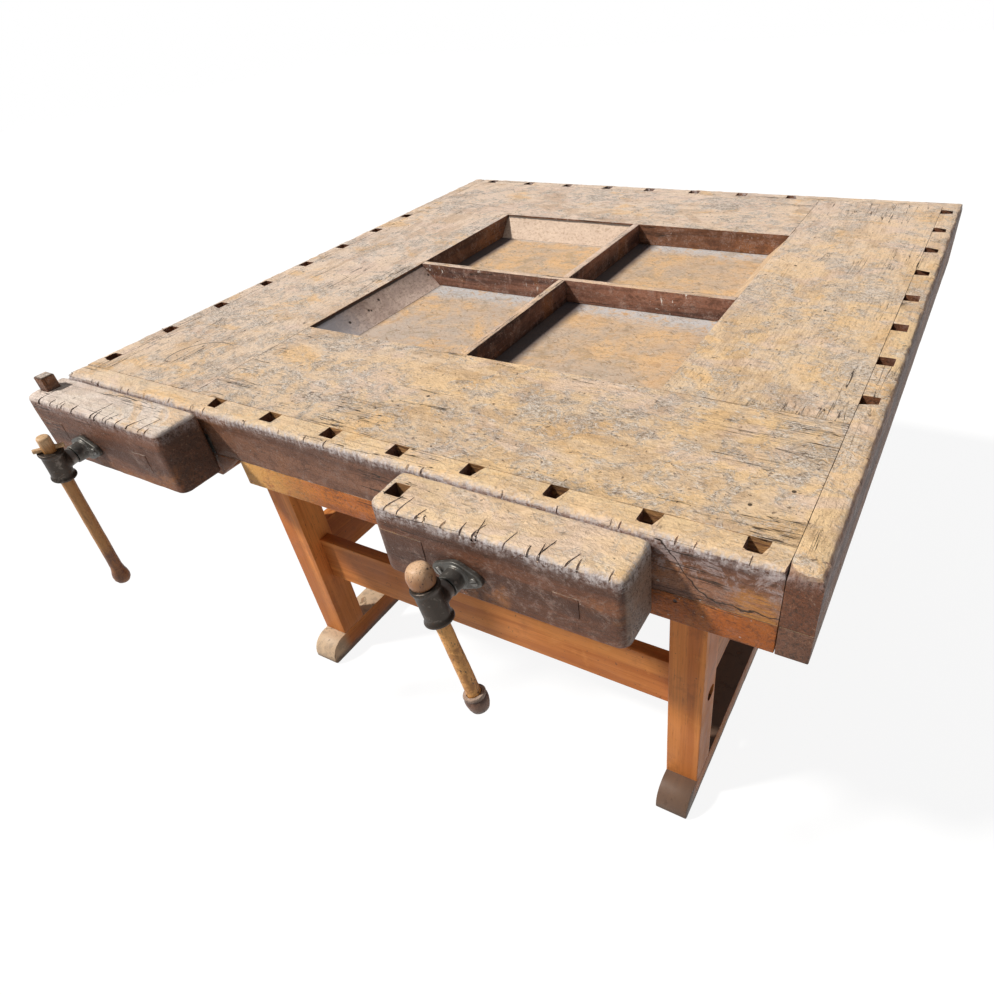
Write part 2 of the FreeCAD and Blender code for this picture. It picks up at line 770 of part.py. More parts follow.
def make_right_handle(left):
    """A turned handle with a round head, and a separate knob on its lower end."""
    hub = V(left + screw_along, hub_y, screw_height)
    up = handle_axis(right_handle_tilt)
    out = up.cross(V(0, 1, 0))

    def at(radius, height):
        return hub + out * radius + up * height

    shank = right_handle_radius
    seat = half_hub + seat_gap
    top = seat + right_head_length
    crown = top - right_head_crown
    belly = seat + right_head_length * head_belly_share
    knob_end = -right_handle_below
    knob_top = knob_end + right_knob_length
    low = knob_top - right_knob_socket
    handle = turned([line(at(0, low), at(shank, low)), line(at(shank, low), at(shank, seat)),
                     line(at(shank, seat), at(right_head_seat_radius, seat)),
                     arc(at(right_head_seat_radius, seat), at(right_head_radius, belly),
                         at(right_head_crown_radius, crown)),
                     line(at(right_head_crown_radius, crown), at(0, top)),
                     line(at(0, top), at(0, low))], hub, up)
    save("right_handle", handle)
    swell = knob_end + right_knob_length * knob_swell_share
    tip = right_knob_radius * knob_end_share
    socket = shank + tenon_clearance
    mouth = right_knob_mouth_radius
    knob = turned([line(at(0, knob_end), at(tip, knob_end)),
                   arc(at(tip, knob_end), at(right_knob_radius, swell), at(mouth, knob_top)),
                   line(at(mouth, knob_top), at(socket, knob_top)),
                   line(at(socket, knob_top), at(socket, low)), line(at(socket, low), at(0, low)),
                   line(at(0, low), at(0, knob_end))], hub, up)
    save("right_handle_knob", knob)


def make_left_handle(left):
    """A handle with a knob turned on its lower end and a cross pin through its top."""
    hub = V(left + screw_along, hub_y, screw_height)
    up = handle_axis(left_handle_tilt)
    out = up.cross(V(0, 1, 0))

    def at(radius, height):
        return hub + out * radius + up * height

    shank = left_handle_radius
    low = -left_handle_below
    knob_top = low + left_knob_length
    swell = low + left_knob_length * (1 - knob_swell_share)
    tip = left_knob_radius * knob_end_share
    crown = left_handle_above - left_handle_end_round
    handle = turned([line(at(0, low), at(tip, low)),
                     arc(at(tip, low), at(left_knob_radius, swell), at(shank, knob_top)),
                     line(at(shank, knob_top), at(shank, crown)),
                     line(at(shank, crown), at(shank - left_handle_end_round, left_handle_above)),
                     line(at(shank - left_handle_end_round, left_handle_above), at(0, left_handle_above)),
                     line(at(0, left_handle_above), at(0, low))], hub, up)
    pin_at = hub + up * (half_hub + seat_gap + handle_pin_radius)
    turn = math.radians(handle_pin_turn)
    across = out * math.cos(turn) + V(0, 1, 0) * math.sin(turn)
    pin = round_bar(handle_pin_radius, pin_at - across * (handle_pin_length / 2),
                    pin_at + across * (handle_pin_length / 2))
    save("left_handle", handle.cut(pin))
    save("left_handle_pin", pin)


def make_dog(left):
    """The square bench dog that stands in the left jaw."""
    side = dog_hole_across - 2 * dog_clearance
    top = bench_height + dog_stands
    middle = V(left + jaw_dog_along, jaw_back - jaw_dog_set_back, top - dog_length / 2)
    dog = centred(middle, side, side, dog_length)
    rim = edges_where(dog, lambda p: near(p.z, top))
    save("left_dog", dog.makeChamfer(dog_chamfer, rim))


def make_vises():
    places = (("left", left_jaw_start, left_handle_radius, left_handle_tilt),
              ("right", right_jaw_start, right_handle_radius, right_handle_tilt))
    for hand, start, handle_radius, tilt in places:
        left = -half_top + start
        make_jaw(hand, left)
        make_flange(hand, left)
        make_screw(hand, left, handle_radius + handle_gap, tilt)
        make_nut(hand, left)
        make_guide(hand, left)
    make_left_handle(-half_top + left_jaw_start)
    make_right_handle(-half_top + right_jaw_start)
    make_dog(-half_top + left_jaw_start)


make_top()
make_tray()
make_trestles()
make_stretcher_bolts()
make_vises()
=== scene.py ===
import bpy
import json
import math
import random
from mathutils import Matrix, Vector


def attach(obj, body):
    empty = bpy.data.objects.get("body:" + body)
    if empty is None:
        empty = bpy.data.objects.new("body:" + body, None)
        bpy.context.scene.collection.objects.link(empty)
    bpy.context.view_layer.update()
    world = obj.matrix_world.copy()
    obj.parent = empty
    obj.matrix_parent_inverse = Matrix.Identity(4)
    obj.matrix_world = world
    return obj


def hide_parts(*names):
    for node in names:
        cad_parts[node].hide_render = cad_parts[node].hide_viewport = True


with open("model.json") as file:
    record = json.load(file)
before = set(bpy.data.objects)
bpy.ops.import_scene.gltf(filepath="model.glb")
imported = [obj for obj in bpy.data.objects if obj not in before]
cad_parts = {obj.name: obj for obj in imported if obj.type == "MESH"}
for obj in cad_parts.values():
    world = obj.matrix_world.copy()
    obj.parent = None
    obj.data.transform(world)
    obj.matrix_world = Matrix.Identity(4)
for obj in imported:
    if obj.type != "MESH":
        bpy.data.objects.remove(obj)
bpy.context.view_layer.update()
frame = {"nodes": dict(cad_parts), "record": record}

# Metres, in the frame of the solids: +X right along the vise side, +Y to the back, +Z up.
MM = 0.001
HALF_TOP = 675 * MM
TOP_Z = 840 * MM
JAW_FRONT = -760 * MM
HUB_Y = -817 * MM
SCREW_Z = 768 * MM
SCREW_LEAD = 6 * MM
JAW_LEFT = {"left": -666.5 * MM, "right": 121 * MM}
JAW_LENGTH = 367 * MM
JAW_DOG_HOLE = {"left": (-640.5 * MM, -721 * MM), "right": (147 * MM, -721 * MM)}
SCREW_X = {"left": -529.5 * MM, "right": 258 * MM}
GUIDE_X = {"left": -377 * MM, "right": 410.5 * MM}
GUIDE_Z = 773 * MM
TRAY_HALF = 363 * MM
LEG_MIDDLE_Y = 464.5 * MM
BOLT_RECESS_FLOOR_X = 489 * MM
BOLT_RECESS_RADIUS = 16 * MM
HANDLE_TILT = {"left": math.radians(-8.5), "right": math.radians(10.5)}

NODE_BODY = {node: body for body, nodes in frame["record"]["behaviour"]["bodies"].items() for node in nodes}


# Selection and modelling

def only(*pieces):
    """Select these pieces and nothing else, the first one active."""
    bpy.ops.object.select_all(action="DESELECT")
    for piece in pieces:
        piece.select_set(True)
    bpy.context.view_layer.objects.active = pieces[0]


def edit(piece, kind="VERT", everything=True):
    only(piece)
    bpy.ops.object.mode_set(mode="EDIT")
    bpy.ops.mesh.select_mode(type=kind)
    bpy.ops.mesh.select_all(action="SELECT" if everything else "DESELECT")


def leave():
    bpy.ops.object.mode_set(mode="OBJECT")


def modified(piece, kind, **settings):
    """Add a modifier and apply it."""
    only(piece)
    modifier = piece.modifiers.new(kind.title(), kind)
    for key, value in settings.items():
        setattr(modifier, key, value)
    bpy.ops.object.modifier_apply(modifier=modifier.name)
    return piece


def added(name, operator, **settings):
    """A new primitive with its place and size applied."""
    bpy.ops.object.select_all(action="DESELECT")
    operator(**settings)
    piece = bpy.context.object
    piece.name = name
    bpy.ops.object.transform_apply(location=True, rotation=True, scale=True)
    return piece


def joined(name, pieces):
    only(*pieces)
    bpy.ops.object.join()
    pieces[0].name = name
    return pieces[0]


def boxed(name, low, high):
    low, high = Vector(low), Vector(high)
    return added(name, bpy.ops.mesh.primitive_cube_add, size=1, location=(low + high) / 2, scale=high - low)


def cleaned(piece, merge=0.01 * MM):
    edit(piece)
    bpy.ops.mesh.remove_doubles(threshold=merge)
    bpy.ops.mesh.normals_make_consistent(inside=False)
    leave()
    return piece


def smoothed(piece, degrees=38):
    only(piece)
    bpy.ops.object.shade_smooth_by_angle(angle=math.radians(degrees))
    return piece


def copied(node):
    """A merged copy of a solid, with its flat faces whole again."""
    piece = bpy.data.objects.new(node + "_piece", frame["nodes"][node].data.copy())
    bpy.context.collection.objects.link(piece)
    edit(piece)
    bpy.ops.mesh.customdata_custom_splitnormals_clear()
    bpy.ops.mesh.select_all(action="SELECT")
    bpy.ops.mesh.remove_doubles(threshold=0.01 * MM)
    bpy.ops.mesh.dissolve_limited(angle_limit=math.radians(0.5))
    leave()
    piece.data.materials.clear()
    return piece


def sliced(piece, axis, spacing):
    """Cut across an axis at even steps, so that the surface can take wear."""
    places = [v.co[axis] for v in piece.data.vertices]
    low, high = min(places), max(places)
    count = int((high - low) / spacing)
    normal = [0, 0, 0]
    normal[axis] = 1
    edit(piece)
    for step in range(1, count + 1):
        at = [0, 0, 0]
        at[axis] = low + (high - low) * step / (count + 1)
        bpy.ops.mesh.select_all(action="SELECT")
        bpy.ops.mesh.bisect(plane_co=at, plane_no=normal)
    leave()
    return piece


CLOUDS = {}


def worn(piece, depth, scale):
    """Press the surface in by up to a depth, in soft hollows of a scale."""
    if scale not in CLOUDS:
        cloud = bpy.data.textures.new("wear_%d" % round(scale / MM), "CLOUDS")
        cloud.noise_scale = scale
        cloud.noise_depth = 3
        CLOUDS[scale] = cloud
    return modified(piece, "DISPLACE", texture=CLOUDS[scale], strength=depth, mid_level=1.0,
                    texture_coords="LOCAL")


def weighted(piece, near):
    """A vertex group with each point's share, as near gives it."""
    group = piece.vertex_groups.new(name="worn_edge")
    for vertex in piece.data.vertices:
        share = near(vertex.co)
        if share > 0:
            group.add([vertex.index], min(share, 1.0), "REPLACE")
    return group.name


def rounded(piece, near, rounds):
    """Roll an edge over, most where near gives 1."""
    modified(piece, "SMOOTH", factor=0.5, iterations=rounds, vertex_group=weighted(piece, near))
    piece.vertex_groups.clear()
    return piece


def rubbed(piece, depth, scale, near):
    """Wear that is deepest where near gives 1, and fades where it gives 0."""
    cloud = bpy.data.textures.new("rub", "CLOUDS")
    cloud.noise_scale = scale
    cloud.noise_depth = 2
    modified(piece, "DISPLACE", texture=cloud, strength=depth, mid_level=0.8, texture_coords="LOCAL",
             vertex_group=weighted(piece, near))
    piece.vertex_groups.clear()
    return piece


def nicked(piece, start, end, inward, count, seed, reach, drop, width, rounds):
    """Cut a top edge with thin blades, in rounds whose blades stay clear of each other."""
    rng = random.Random(seed)
    start, end, inward = Vector(start), Vector(end), Vector(inward)
    blades = []
    for number in range(count):
        at = start.lerp(end, (number + rng.uniform(-0.3, 1.3)) / count)
        run, fall, wide = rng.uniform(*reach), rng.uniform(*drop), rng.uniform(*width)
        lean = inward.copy()
        lean.rotate(Matrix.Rotation(rng.uniform(-0.28, 0.28), 3, "Z"))
        along = (lean * run + Vector((0, 0, fall))).normalized()
        across = along.cross(Vector((0, 0, 1))).normalized()
        upward = across.cross(along)
        length, height = run + 14 * MM, 20 * MM
        middle = at + lean * run - along * (length / 2) + upward * (height / 2)
        turn = Matrix((across, along, upward)).transposed().to_4x4()
        blade = boxed("blade", (-wide / 2, -length / 2, -height / 2), (wide / 2, length / 2, height / 2))
        blades.append(placed(blade, Matrix.Translation(middle) @ turn))
    for number in range(rounds):
        cut_by(piece, joined("blades", blades[number::rounds]))
    return piece


def softened(piece, width, segments=2, degrees=40):
    return modified(piece, "BEVEL", width=width, segments=segments, limit_method="ANGLE",
                    angle_limit=math.radians(degrees), harden_normals=False, miter_outer="MITER_ARC")


def cut_by(piece, cutter):
    modified(piece, "BOOLEAN", operation="DIFFERENCE", solver="EXACT", object=cutter)
    bpy.data.objects.remove(cutter)
    return piece


def profile(name, points):
    """A chain of points drawn by extruding one vertex."""
    bpy.ops.object.select_all(action="DESELECT")
    bpy.ops.mesh.primitive_plane_add(size=1)
    piece = bpy.context.object
    piece.name = name
    edit(piece)
    bpy.ops.mesh.merge(type="CENTER")
    last = Vector((0, 0, 0))
    for number, point in enumerate(points):
        move = Vector(point) - last
        if number == 0:
            bpy.ops.transform.translate(value=move)
        else:
            bpy.ops.mesh.extrude_vertices_move(TRANSFORM_OT_translate={"value": move})
        last = Vector(point)
    leave()
    return piece


def spun(name, outline, steps=40):
    """A turned piece about Z from radius and height pairs."""
    piece = profile(name, [(radius, 0, height) for radius, height in outline])
    edit(piece)
    bpy.ops.mesh.spin(steps=steps, angle=math.tau, center=(0, 0, 0), axis=(0, 0, 1))
    leave()
    return smoothed(cleaned(piece), 50)


def placed(piece, matrix):
    """Put a piece in its place, with the place in its mesh."""
    piece.data.transform(matrix)
    piece.data.update()
    return piece


def kept(piece, node, material, also=()):
    """The piece stands for a solid: it takes the given material, rides with the solid and hides it."""
    piece.data.materials.clear()
    piece.data.materials.append(material)
    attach(piece, NODE_BODY[node])
    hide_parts(node, *also)
    return piece


def extra(piece, body, material):
    """A small piece that no solid stands for."""
    piece.data.materials.clear()
    piece.data.materials.append(material)
    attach(piece, body)
    return piece


# Shader building

class Value:
    """A shader socket that takes part in sums and products."""

    def __init__(self, finish, socket):
        self.finish = finish
        self.socket = socket

    def maths(self, operation, first, second=0.0):
        return self.finish.add("ShaderNodeMath", {"operation": operation}, {0: first, 1: second})

    def __add__(self, other):
        return self.maths("ADD", self, other)

    def __radd__(self, other):
        return self.maths("ADD", other, self)

    def __sub__(self, other):
        return self.maths("SUBTRACT", self, other)

    def __rsub__(self, other):
        return self.maths("SUBTRACT", other, self)

    def __mul__(self, other):
        return self.maths("MULTIPLY", self, other)

    def __rmul__(self, other):
        return self.maths("MULTIPLY", other, self)

    def __abs__(self):
        return self.maths("ABSOLUTE", self)

    def least(self, other):
        return self.maths("MINIMUM", self, other)

    def most(self, other):
        return self.maths("MAXIMUM", self, other)

    def root(self):
        return self.maths("SQRT", self)


class Finish:
    """A material, built node by node."""

    def __init__(self, name):
        self.material = bpy.data.materials.new(name)
        self.material.use_nodes = True
        self.tree = self.material.node_tree
        self.shader = self.tree.nodes["Principled BSDF"]

    def add(self, kind, settings=None, sockets=None, output=0):
        node = self.tree.nodes.new(kind)
        for key, value in (settings or {}).items():
            setattr(node, key, value)
        for key, value in (sockets or {}).items():
            if isinstance(value, Value):
                self.tree.links.new(value.socket, node.inputs[key])
            else:
                node.inputs[key].default_value = value
        return Value(self, node.outputs[output])

    def place(self):
        return self.add("ShaderNodeTexCoord", output="Object")

    def part(self, vector, axis):
        return self.add("ShaderNodeSeparateXYZ", None, {0: vector}, axis)

    def along(self, axis):
        """Object coordinates with the grain's direction first."""
        here = self.place()
        order = {"X": "XYZ", "Y": "YXZ", "Z": "ZXY"}[axis]
        return self.add("ShaderNodeCombineXYZ", None, {i: self.part(here, name) for i, name in enumerate(order)})

    def facing(self, axis):
        return self.part(self.add("ShaderNodeNewGeometry", output="Normal"), axis)

    def stretched(self, vector, shares, shift=(0, 0, 0)):
        scaled = self.add("ShaderNodeVectorMath", {"operation": "MULTIPLY"}, {0: vector, 1: shares})
        return self.add("ShaderNodeVectorMath", {"operation": "ADD"}, {0: scaled, 1: shift})

    def turned(self, vector, degrees):
        return self.add("ShaderNodeVectorRotate", {"rotation_type": "Z_AXIS"},
                        {"Vector": vector, "Angle": math.radians(degrees)})

    def noise(self, vector, shares, detail=3.0, rough=0.55, warp=0.0, shift=(0, 0, 0)):
        return self.add("ShaderNodeTexNoise", None,
                        {"Vector": self.stretched(vector, shares, shift), "Scale": 1.0, "Detail": detail,
                         "Roughness": rough, "Distortion": warp}, "Fac")

    def cells(self, vector, shares, feature="F1", output="Distance"):
        return self.add("ShaderNodeTexVoronoi", {"feature": feature},
                        {"Vector": self.stretched(vector, shares), "Scale": 1.0}, output)

    def ramp(self, value, low, high):
        """0 below low, 1 above high, smooth between; low may be the larger."""
        if low > high:
            return 1 - self.ramp(value, high, low)
        return self.add("ShaderNodeMapRange", {"interpolation_type": "SMOOTHSTEP"},
                        {"Value": value, "From Min": low, "From Max": high})

    def mix(self, share, first, second):
        ends = {6: first, 7: second}
        ends = {key: value if isinstance(value, Value) else (*value, 1) for key, value in ends.items()}
        return self.add("ShaderNodeMix", {"data_type": "RGBA"}, {0: share, **ends}, 2)

    def done(self, colour, rough, height=None, depth=0.5 * MM, strength=0.6, **constants):
        links = {"Base Color": colour, "Roughness": rough}
        if height is not None:
            links["Normal"] = self.add("ShaderNodeBump", None,
                                       {"Strength": strength, "Distance": depth, "Height": height})
        for key, value in {**links, **constants}.items():
            if isinstance(value, Value):
                self.tree.links.new(value.socket, self.shader.inputs[key])
            else:
                self.shader.inputs[key].default_value = value
        return self.material


# Finishes, in linear colour

HONEY = (1.0, 0.68, 0.36)
TAN = (0.90, 0.67, 0.45)
ASH = (0.50, 0.425, 0.35)
LILAC = (0.68, 0.60, 0.545)
PALE = (0.90, 0.85, 0.79)
SOOT = (0.055, 0.034, 0.023)
BARK = (0.31, 0.175, 0.085)
RUSSET = (0.31, 0.135, 0.07)
UMBER = (0.105, 0.046, 0.028)
AMBER = (0.50, 0.20, 0.065)
PLUM = (0.37, 0.20, 0.145)
# painted sheen: this silvery grey on worn edges stands for light caught there
SILVER_SHEEN = (0.74, 0.68, 0.68)


def bench_finish(name, along, top=(HONEY, TAN), side=(RUSSET, UMBER), scuffs=0.75, edge_wear_and_sheen=0.0, amber=0.4, waxed=0.45,
                 ends=None, split=None, arc=None, sunlit_holes=False, drips=False, faded=False, shaded_pocket=None):
    """Old bench wood: bleached, scuffed and scratched on top, dark and waxed on its sides, worn at the edges with a
    painted silvery sheen.

    top and side each give a light and a dark shade, and ends the shade of sawn ends.
    split: a long crack in the front, from one x and z to another, with a painted lilac sheen and bared wood beside it
    arc: a round scratch in the top, as its middle and radius
    holes: painted sunlight, the orange of lit wood on those walls of the edge that closes each dog hole which face the
    sun
    drips: pale paint runs near the top
    faded: golden wood on the left half of the front
    pocket: the middle of a jaw's dog hole, painted dark inside as shade, with the wall that faces the sun painted
    lighter as lit
    """
    f = Finish(name)
    here, grain = f.place(), f.along(along)
    up = f.ramp(f.facing("Z"), 0.66, 0.93)
    bands = f.noise(grain, (1.6, 24, 24), 4, 0.6, 0.3)
    patches = f.noise(here, (6, 6, 6), 5, 0.62, 0.5)
    blots = f.noise(here, (38, 38, 38), 7, 0.76, 0.6, (3, 1, 2))
    grit = f.noise(grain, (170, 230, 230), 5, 0.75, 0.6)
    fibre = f.noise(grain, (14, 280, 280), 3, 0.6)
    squiggle = f.ramp(f.noise(grain, (60, 300, 300), 3, 0.65, 0.8), 0.58, 0.66)
    scrawl = f.ramp(abs(f.noise(f.turned(here, 24), (45, 130, 130), 3, 0.6, 1.2) - 0.5), 0.060, 0.025)
    scrawl = scrawl.most(f.ramp(f.noise(f.turned(here, -41), (52, 240, 240), 3, 0.6, 0, (9, 2, 0)), 0.58, 0.65))
    chalk = f.ramp(abs(f.noise(f.turned(here, -33), (50, 140, 140), 3, 0.6, 1.2, (5, 3, 1)) - 0.5), 0.060, 0.025)
    chalk = chalk.most(f.ramp(f.noise(f.turned(here, 62), (45, 190, 190), 3, 0.6), 0.60, 0.67))
    grey = f.noise(here, (24, 27, 27), 6, 0.74, 1.0, (4, 9, 1)) + 0.5 * (patches - 0.5)
    grey = f.ramp(grey, 0.46, 0.61)
    wear = 0.2 + 1.06 * scuffs
    crack = f.ramp(abs(f.noise(grain, (1.3, 30, 30), 4, 0.6, 0.3, (0, 7, 0)) - 0.5), 0.005, 0.0015)
    crack = crack * f.ramp(f.noise(here, (4, 4, 4), 2), 0.52, 0.56)
    pits = f.ramp(f.cells(here, (21, 21, 21)), 0.07, 0.04)
    pits = pits * f.ramp(f.part(f.cells(here, (21, 21, 21), output="Color"), "X"), 0.66, 0.68)
    if split:
        x0, z0, x1, z1 = split
        x = f.part(here, "X")
        way = f.ramp(x, x0, x1)
        off = abs(f.part(here, "Z") - z0 - (z1 - z0) * way + 0.030 * (f.noise(here, (26, 26, 26), 4, 0.6) - 0.5))
        crack = crack.most(f.ramp(off, 0.0016, 0.0005) * f.ramp(x, x0 - 0.004, x0) * f.ramp(x, x1 + 0.12, x1 + 0.11))

    far = f.ramp(f.part(here, "Y") - f.part(here, "X"), -0.9, 0.6)
    dirty = grey * scuffs
    face = f.mix(f.ramp(patches * 0.5 + bands * 0.3 + blots * 0.2, 0.42, 0.56), top[0], top[1])
    face = f.mix(far * 0.65, face, (0.98, 0.83, 0.75))
    hue = f.noise(here, (7, 11, 11), 5, 0.66, 0.7, (6, 2, 8))
    face = f.mix(f.ramp(hue, 0.52, 0.62) * 0.55, face, (0.90, 0.69, 0.58))
    face = f.mix(f.ramp(hue, 0.45, 0.36) * 0.6, face, (1.0, 0.63, 0.29))
    stain = f.ramp(f.noise(grain, (9, 16, 16), 7, 0.74, 0.8, (1, 5, 3)), 0.48, 0.60)
    face = f.mix(stain * 0.45 * wear, face, (0.52, 0.32, 0.17))
    face = f.mix(dirty * 0.75, face, f.mix(f.ramp(blots, 0.44, 0.56), ASH, LILAC))
    face = f.mix(f.ramp(fibre, 0.46, 0.68) * 0.2, face, BARK)
    face = f.mix(f.ramp(grit, 0.49, 0.66) * (0.38 * wear + 0.4 * dirty), face, BARK)
    face = f.mix(f.ramp(grit, 0.45, 0.30) * (0.05 + 0.6 * dirty), face, PALE)
    face = f.mix(squiggle * (0.35 * wear + 0.4 * dirty), face, (0.14, 0.08, 0.045))
    face = f.mix(scrawl * (0.10 + 0.75 * dirty) * f.ramp(grit, 0.58, 0.46), face, (0.13, 0.085, 0.06))
    face = f.mix(chalk * (0.04 + 0.72 * dirty) * f.ramp(grit, 0.42, 0.54), face, (0.94, 0.90, 0.84))
    dots = f.ramp(f.noise(here, (120, 120, 120), 2, 0.5, 0, (1, 8, 4)), 0.68, 0.72)
    face = f.mix(dots * 0.75 * wear, face, (0.12, 0.07, 0.045))
    if arc:
        middle_x, middle_y, radius = arc
        right, back = f.part(here, "X") - middle_x, f.part(here, "Y") - middle_y
        off = abs((right * right + back * back).root() - radius + 0.006 * (blots - 0.5))
        line = f.ramp(off, 0.0022, 0.0008) * f.ramp(right, 0.04, 0.0) * f.ramp(back, -0.04, -0.02)
        face = f.mix(line * 0.85, face, (0.20, 0.165, 0.14))

    wall = f.mix(f.ramp(bands, 0.38, 0.62), side[1], side[0])
    wall = f.mix(f.ramp(patches, 0.52, 0.64) * amber, wall, AMBER)
    wall = f.mix(f.ramp(blots, 0.51, 0.63) * waxed, wall, PLUM)
    wall = f.mix(f.ramp(blots, 0.46, 0.35) * 0.6, wall, UMBER)
    wall = f.mix(f.ramp(grit, 0.47, 0.68) * 0.6, wall, UMBER)
    wall = f.mix(f.ramp(grit, 0.44, 0.30) * waxed * 0.7, wall, (0.46, 0.30, 0.22))
    wall = f.mix(chalk * f.ramp(blots, 0.46, 0.60) * waxed * 0.6, wall, (0.58, 0.49, 0.44))
    wall = f.mix(squiggle * 0.45, wall, SOOT)
    specks = f.ramp(f.noise(here, (150, 150, 150), 2, 0.5), 0.69, 0.74) * f.ramp(patches, 0.44, 0.52)
    wall = f.mix(specks * 0.6, wall, (0.66, 0.60, 0.55))
    if split:
        level = f.part(here, "Z") + 0.03 * (blots - 0.5)
        # painted sheen: lilac patches high on the front, right of the crack, stand for light caught there
        sheen_patch = f.ramp(x, 0.42, 0.50) * f.ramp(blots, 0.47, 0.58) * f.ramp(level, 0.780, 0.805)
        wall = f.mix(f.ramp(x, 0.20, -0.05) * 0.35, wall, UMBER)
        wall = f.mix(sheen_patch * 0.5, wall, (0.60, 0.50, 0.50))
        bared = f.ramp(abs(x - 0.607) + 0.06 * (blots - 0.5), 0.034, 0.014)
        bared = bared * f.ramp(level, 0.800, 0.786) * f.ramp(fibre, 0.62, 0.48)
        wall = f.mix(bared * 0.7, wall, (0.62, 0.27, 0.065))
    if ends:
        grain_end = f.ramp(abs(f.facing(along)), 0.7, 0.95)
        wall = f.mix(grain_end * 0.7, wall, ends)
        wall = f.mix(grain_end * f.ramp(grit, 0.50, 0.62) * 0.75, wall, SOOT)
        wall = f.mix(grain_end * f.ramp(grit, 0.44, 0.34) * f.ramp(blots, 0.42, 0.56) * 0.6, wall, (0.42, 0.28, 0.19))
    if faded:
        pale = f.ramp(f.part(here, "X") + 0.1 * (patches - 0.5), -0.05, -0.25) * f.ramp(blots, 0.66, 0.50)
        pale = pale * f.ramp(f.part(here, "Y"), 0.1, -0.1)
        wall = f.mix(pale * 0.9, wall, (0.86, 0.46, 0.14))
    # painted light: walls inside the top that face the sun are painted the orange of sunlit wood
    if sunlit_holes:
        inside = f.ramp(abs(f.part(here, "X")).most(abs(f.part(here, "Y"))), 0.55, 0.58)
        sunward = f.ramp(f.facing("X").least(f.facing("Y")), -0.7, -0.9)
        sunlit_wood = f.mix(f.ramp(fibre, 0.42, 0.58), (0.72, 0.38, 0.15), (0.34, 0.16, 0.07))
        wall = f.mix(inside * sunward * 0.85, wall, sunlit_wood)
    if drips:
        run = f.ramp(f.noise(here, (190, 190, 60), 2, 0.5), 0.66, 0.70) * f.ramp(f.part(here, "Z"), 0.806, 0.822)
        wall = f.mix(run * f.ramp(patches, 0.47, 0.55), wall, PALE)

    slope = f.ramp(f.facing("Z"), 0.10, 0.40) * f.ramp(f.facing("Z"), 0.995, 0.94)
    # painted sheen: a silvery strip and the sloped worn top edges take a colour that stands for light; the same weight
    # sets how far the top wood rolls over the edge
    if edge_wear_and_sheen:
        outer = f.ramp(abs(f.part(here, "X")).most(abs(f.part(here, "Y"))), 0.645, 0.655)
        level = f.part(here, "Z") + 0.022 * (blots - 0.5) + 0.014 * (patches - 0.5)
        streak = f.ramp(f.noise(here, (210, 210, 24), 3, 0.6), 0.42, 0.60)
        sheen_band = f.ramp(level, 0.812, 0.830) * outer * f.ramp(f.facing("Z"), -0.02, 0.04)
        wall = f.mix(sheen_band * (0.4 + 0.6 * streak) * f.ramp(grit, 0.62, 0.44) * edge_wear_and_sheen, wall, SILVER_SHEEN)
        bare = up.most(f.ramp(level, 0.830, 0.837) * outer * f.ramp(f.facing("Z"), 0.12, 0.35) * min(1, 2 * edge_wear_and_sheen))
        colour = f.mix(bare, wall, face)
        colour = f.mix(slope * outer * f.ramp(level, 0.842, 0.832) * (0.35 + 0.65 * streak) * edge_wear_and_sheen, colour, SILVER_SHEEN)
        slope = slope * (1 - outer)
    else:
        colour = f.mix(up, wall, face)
    colour = f.mix(slope * f.ramp(patches, 0.42, 0.58) * 0.6, colour, SOOT)
    # painted shade inside a jaw's dog hole, and painted light on its wall that faces the sun
    if shaded_pocket:
        inside = abs(f.part(here, "X") - shaded_pocket[0]).most(abs(f.part(here, "Y") - shaded_pocket[1]))
        inside = f.ramp(inside, 0.0150, 0.0140) * f.ramp(f.facing("Z"), 0.7, 0.4)
        colour = f.mix(inside, colour, f.mix(f.ramp(f.facing("Y"), -0.7, -0.9), UMBER, (0.42, 0.21, 0.09)))
    colour = f.mix(crack.most(pits) * 0.9, colour, (0.03, 0.018, 0.012))
    height = (fibre * 0.3 + blots * 0.9 - grit * 0.9 - squiggle * 0.3 - scrawl * 0.3 + chalk * 0.2 - crack * 1.3
              - pits * 1.5)
    rough = 0.50 + 0.24 * up - 0.14 * f.ramp(blots, 0.5, 0.7) * (1 - up)
    return f.done(colour, rough, height, 1.1 * MM, 1.0, **{"Specular IOR Level": 0.28})


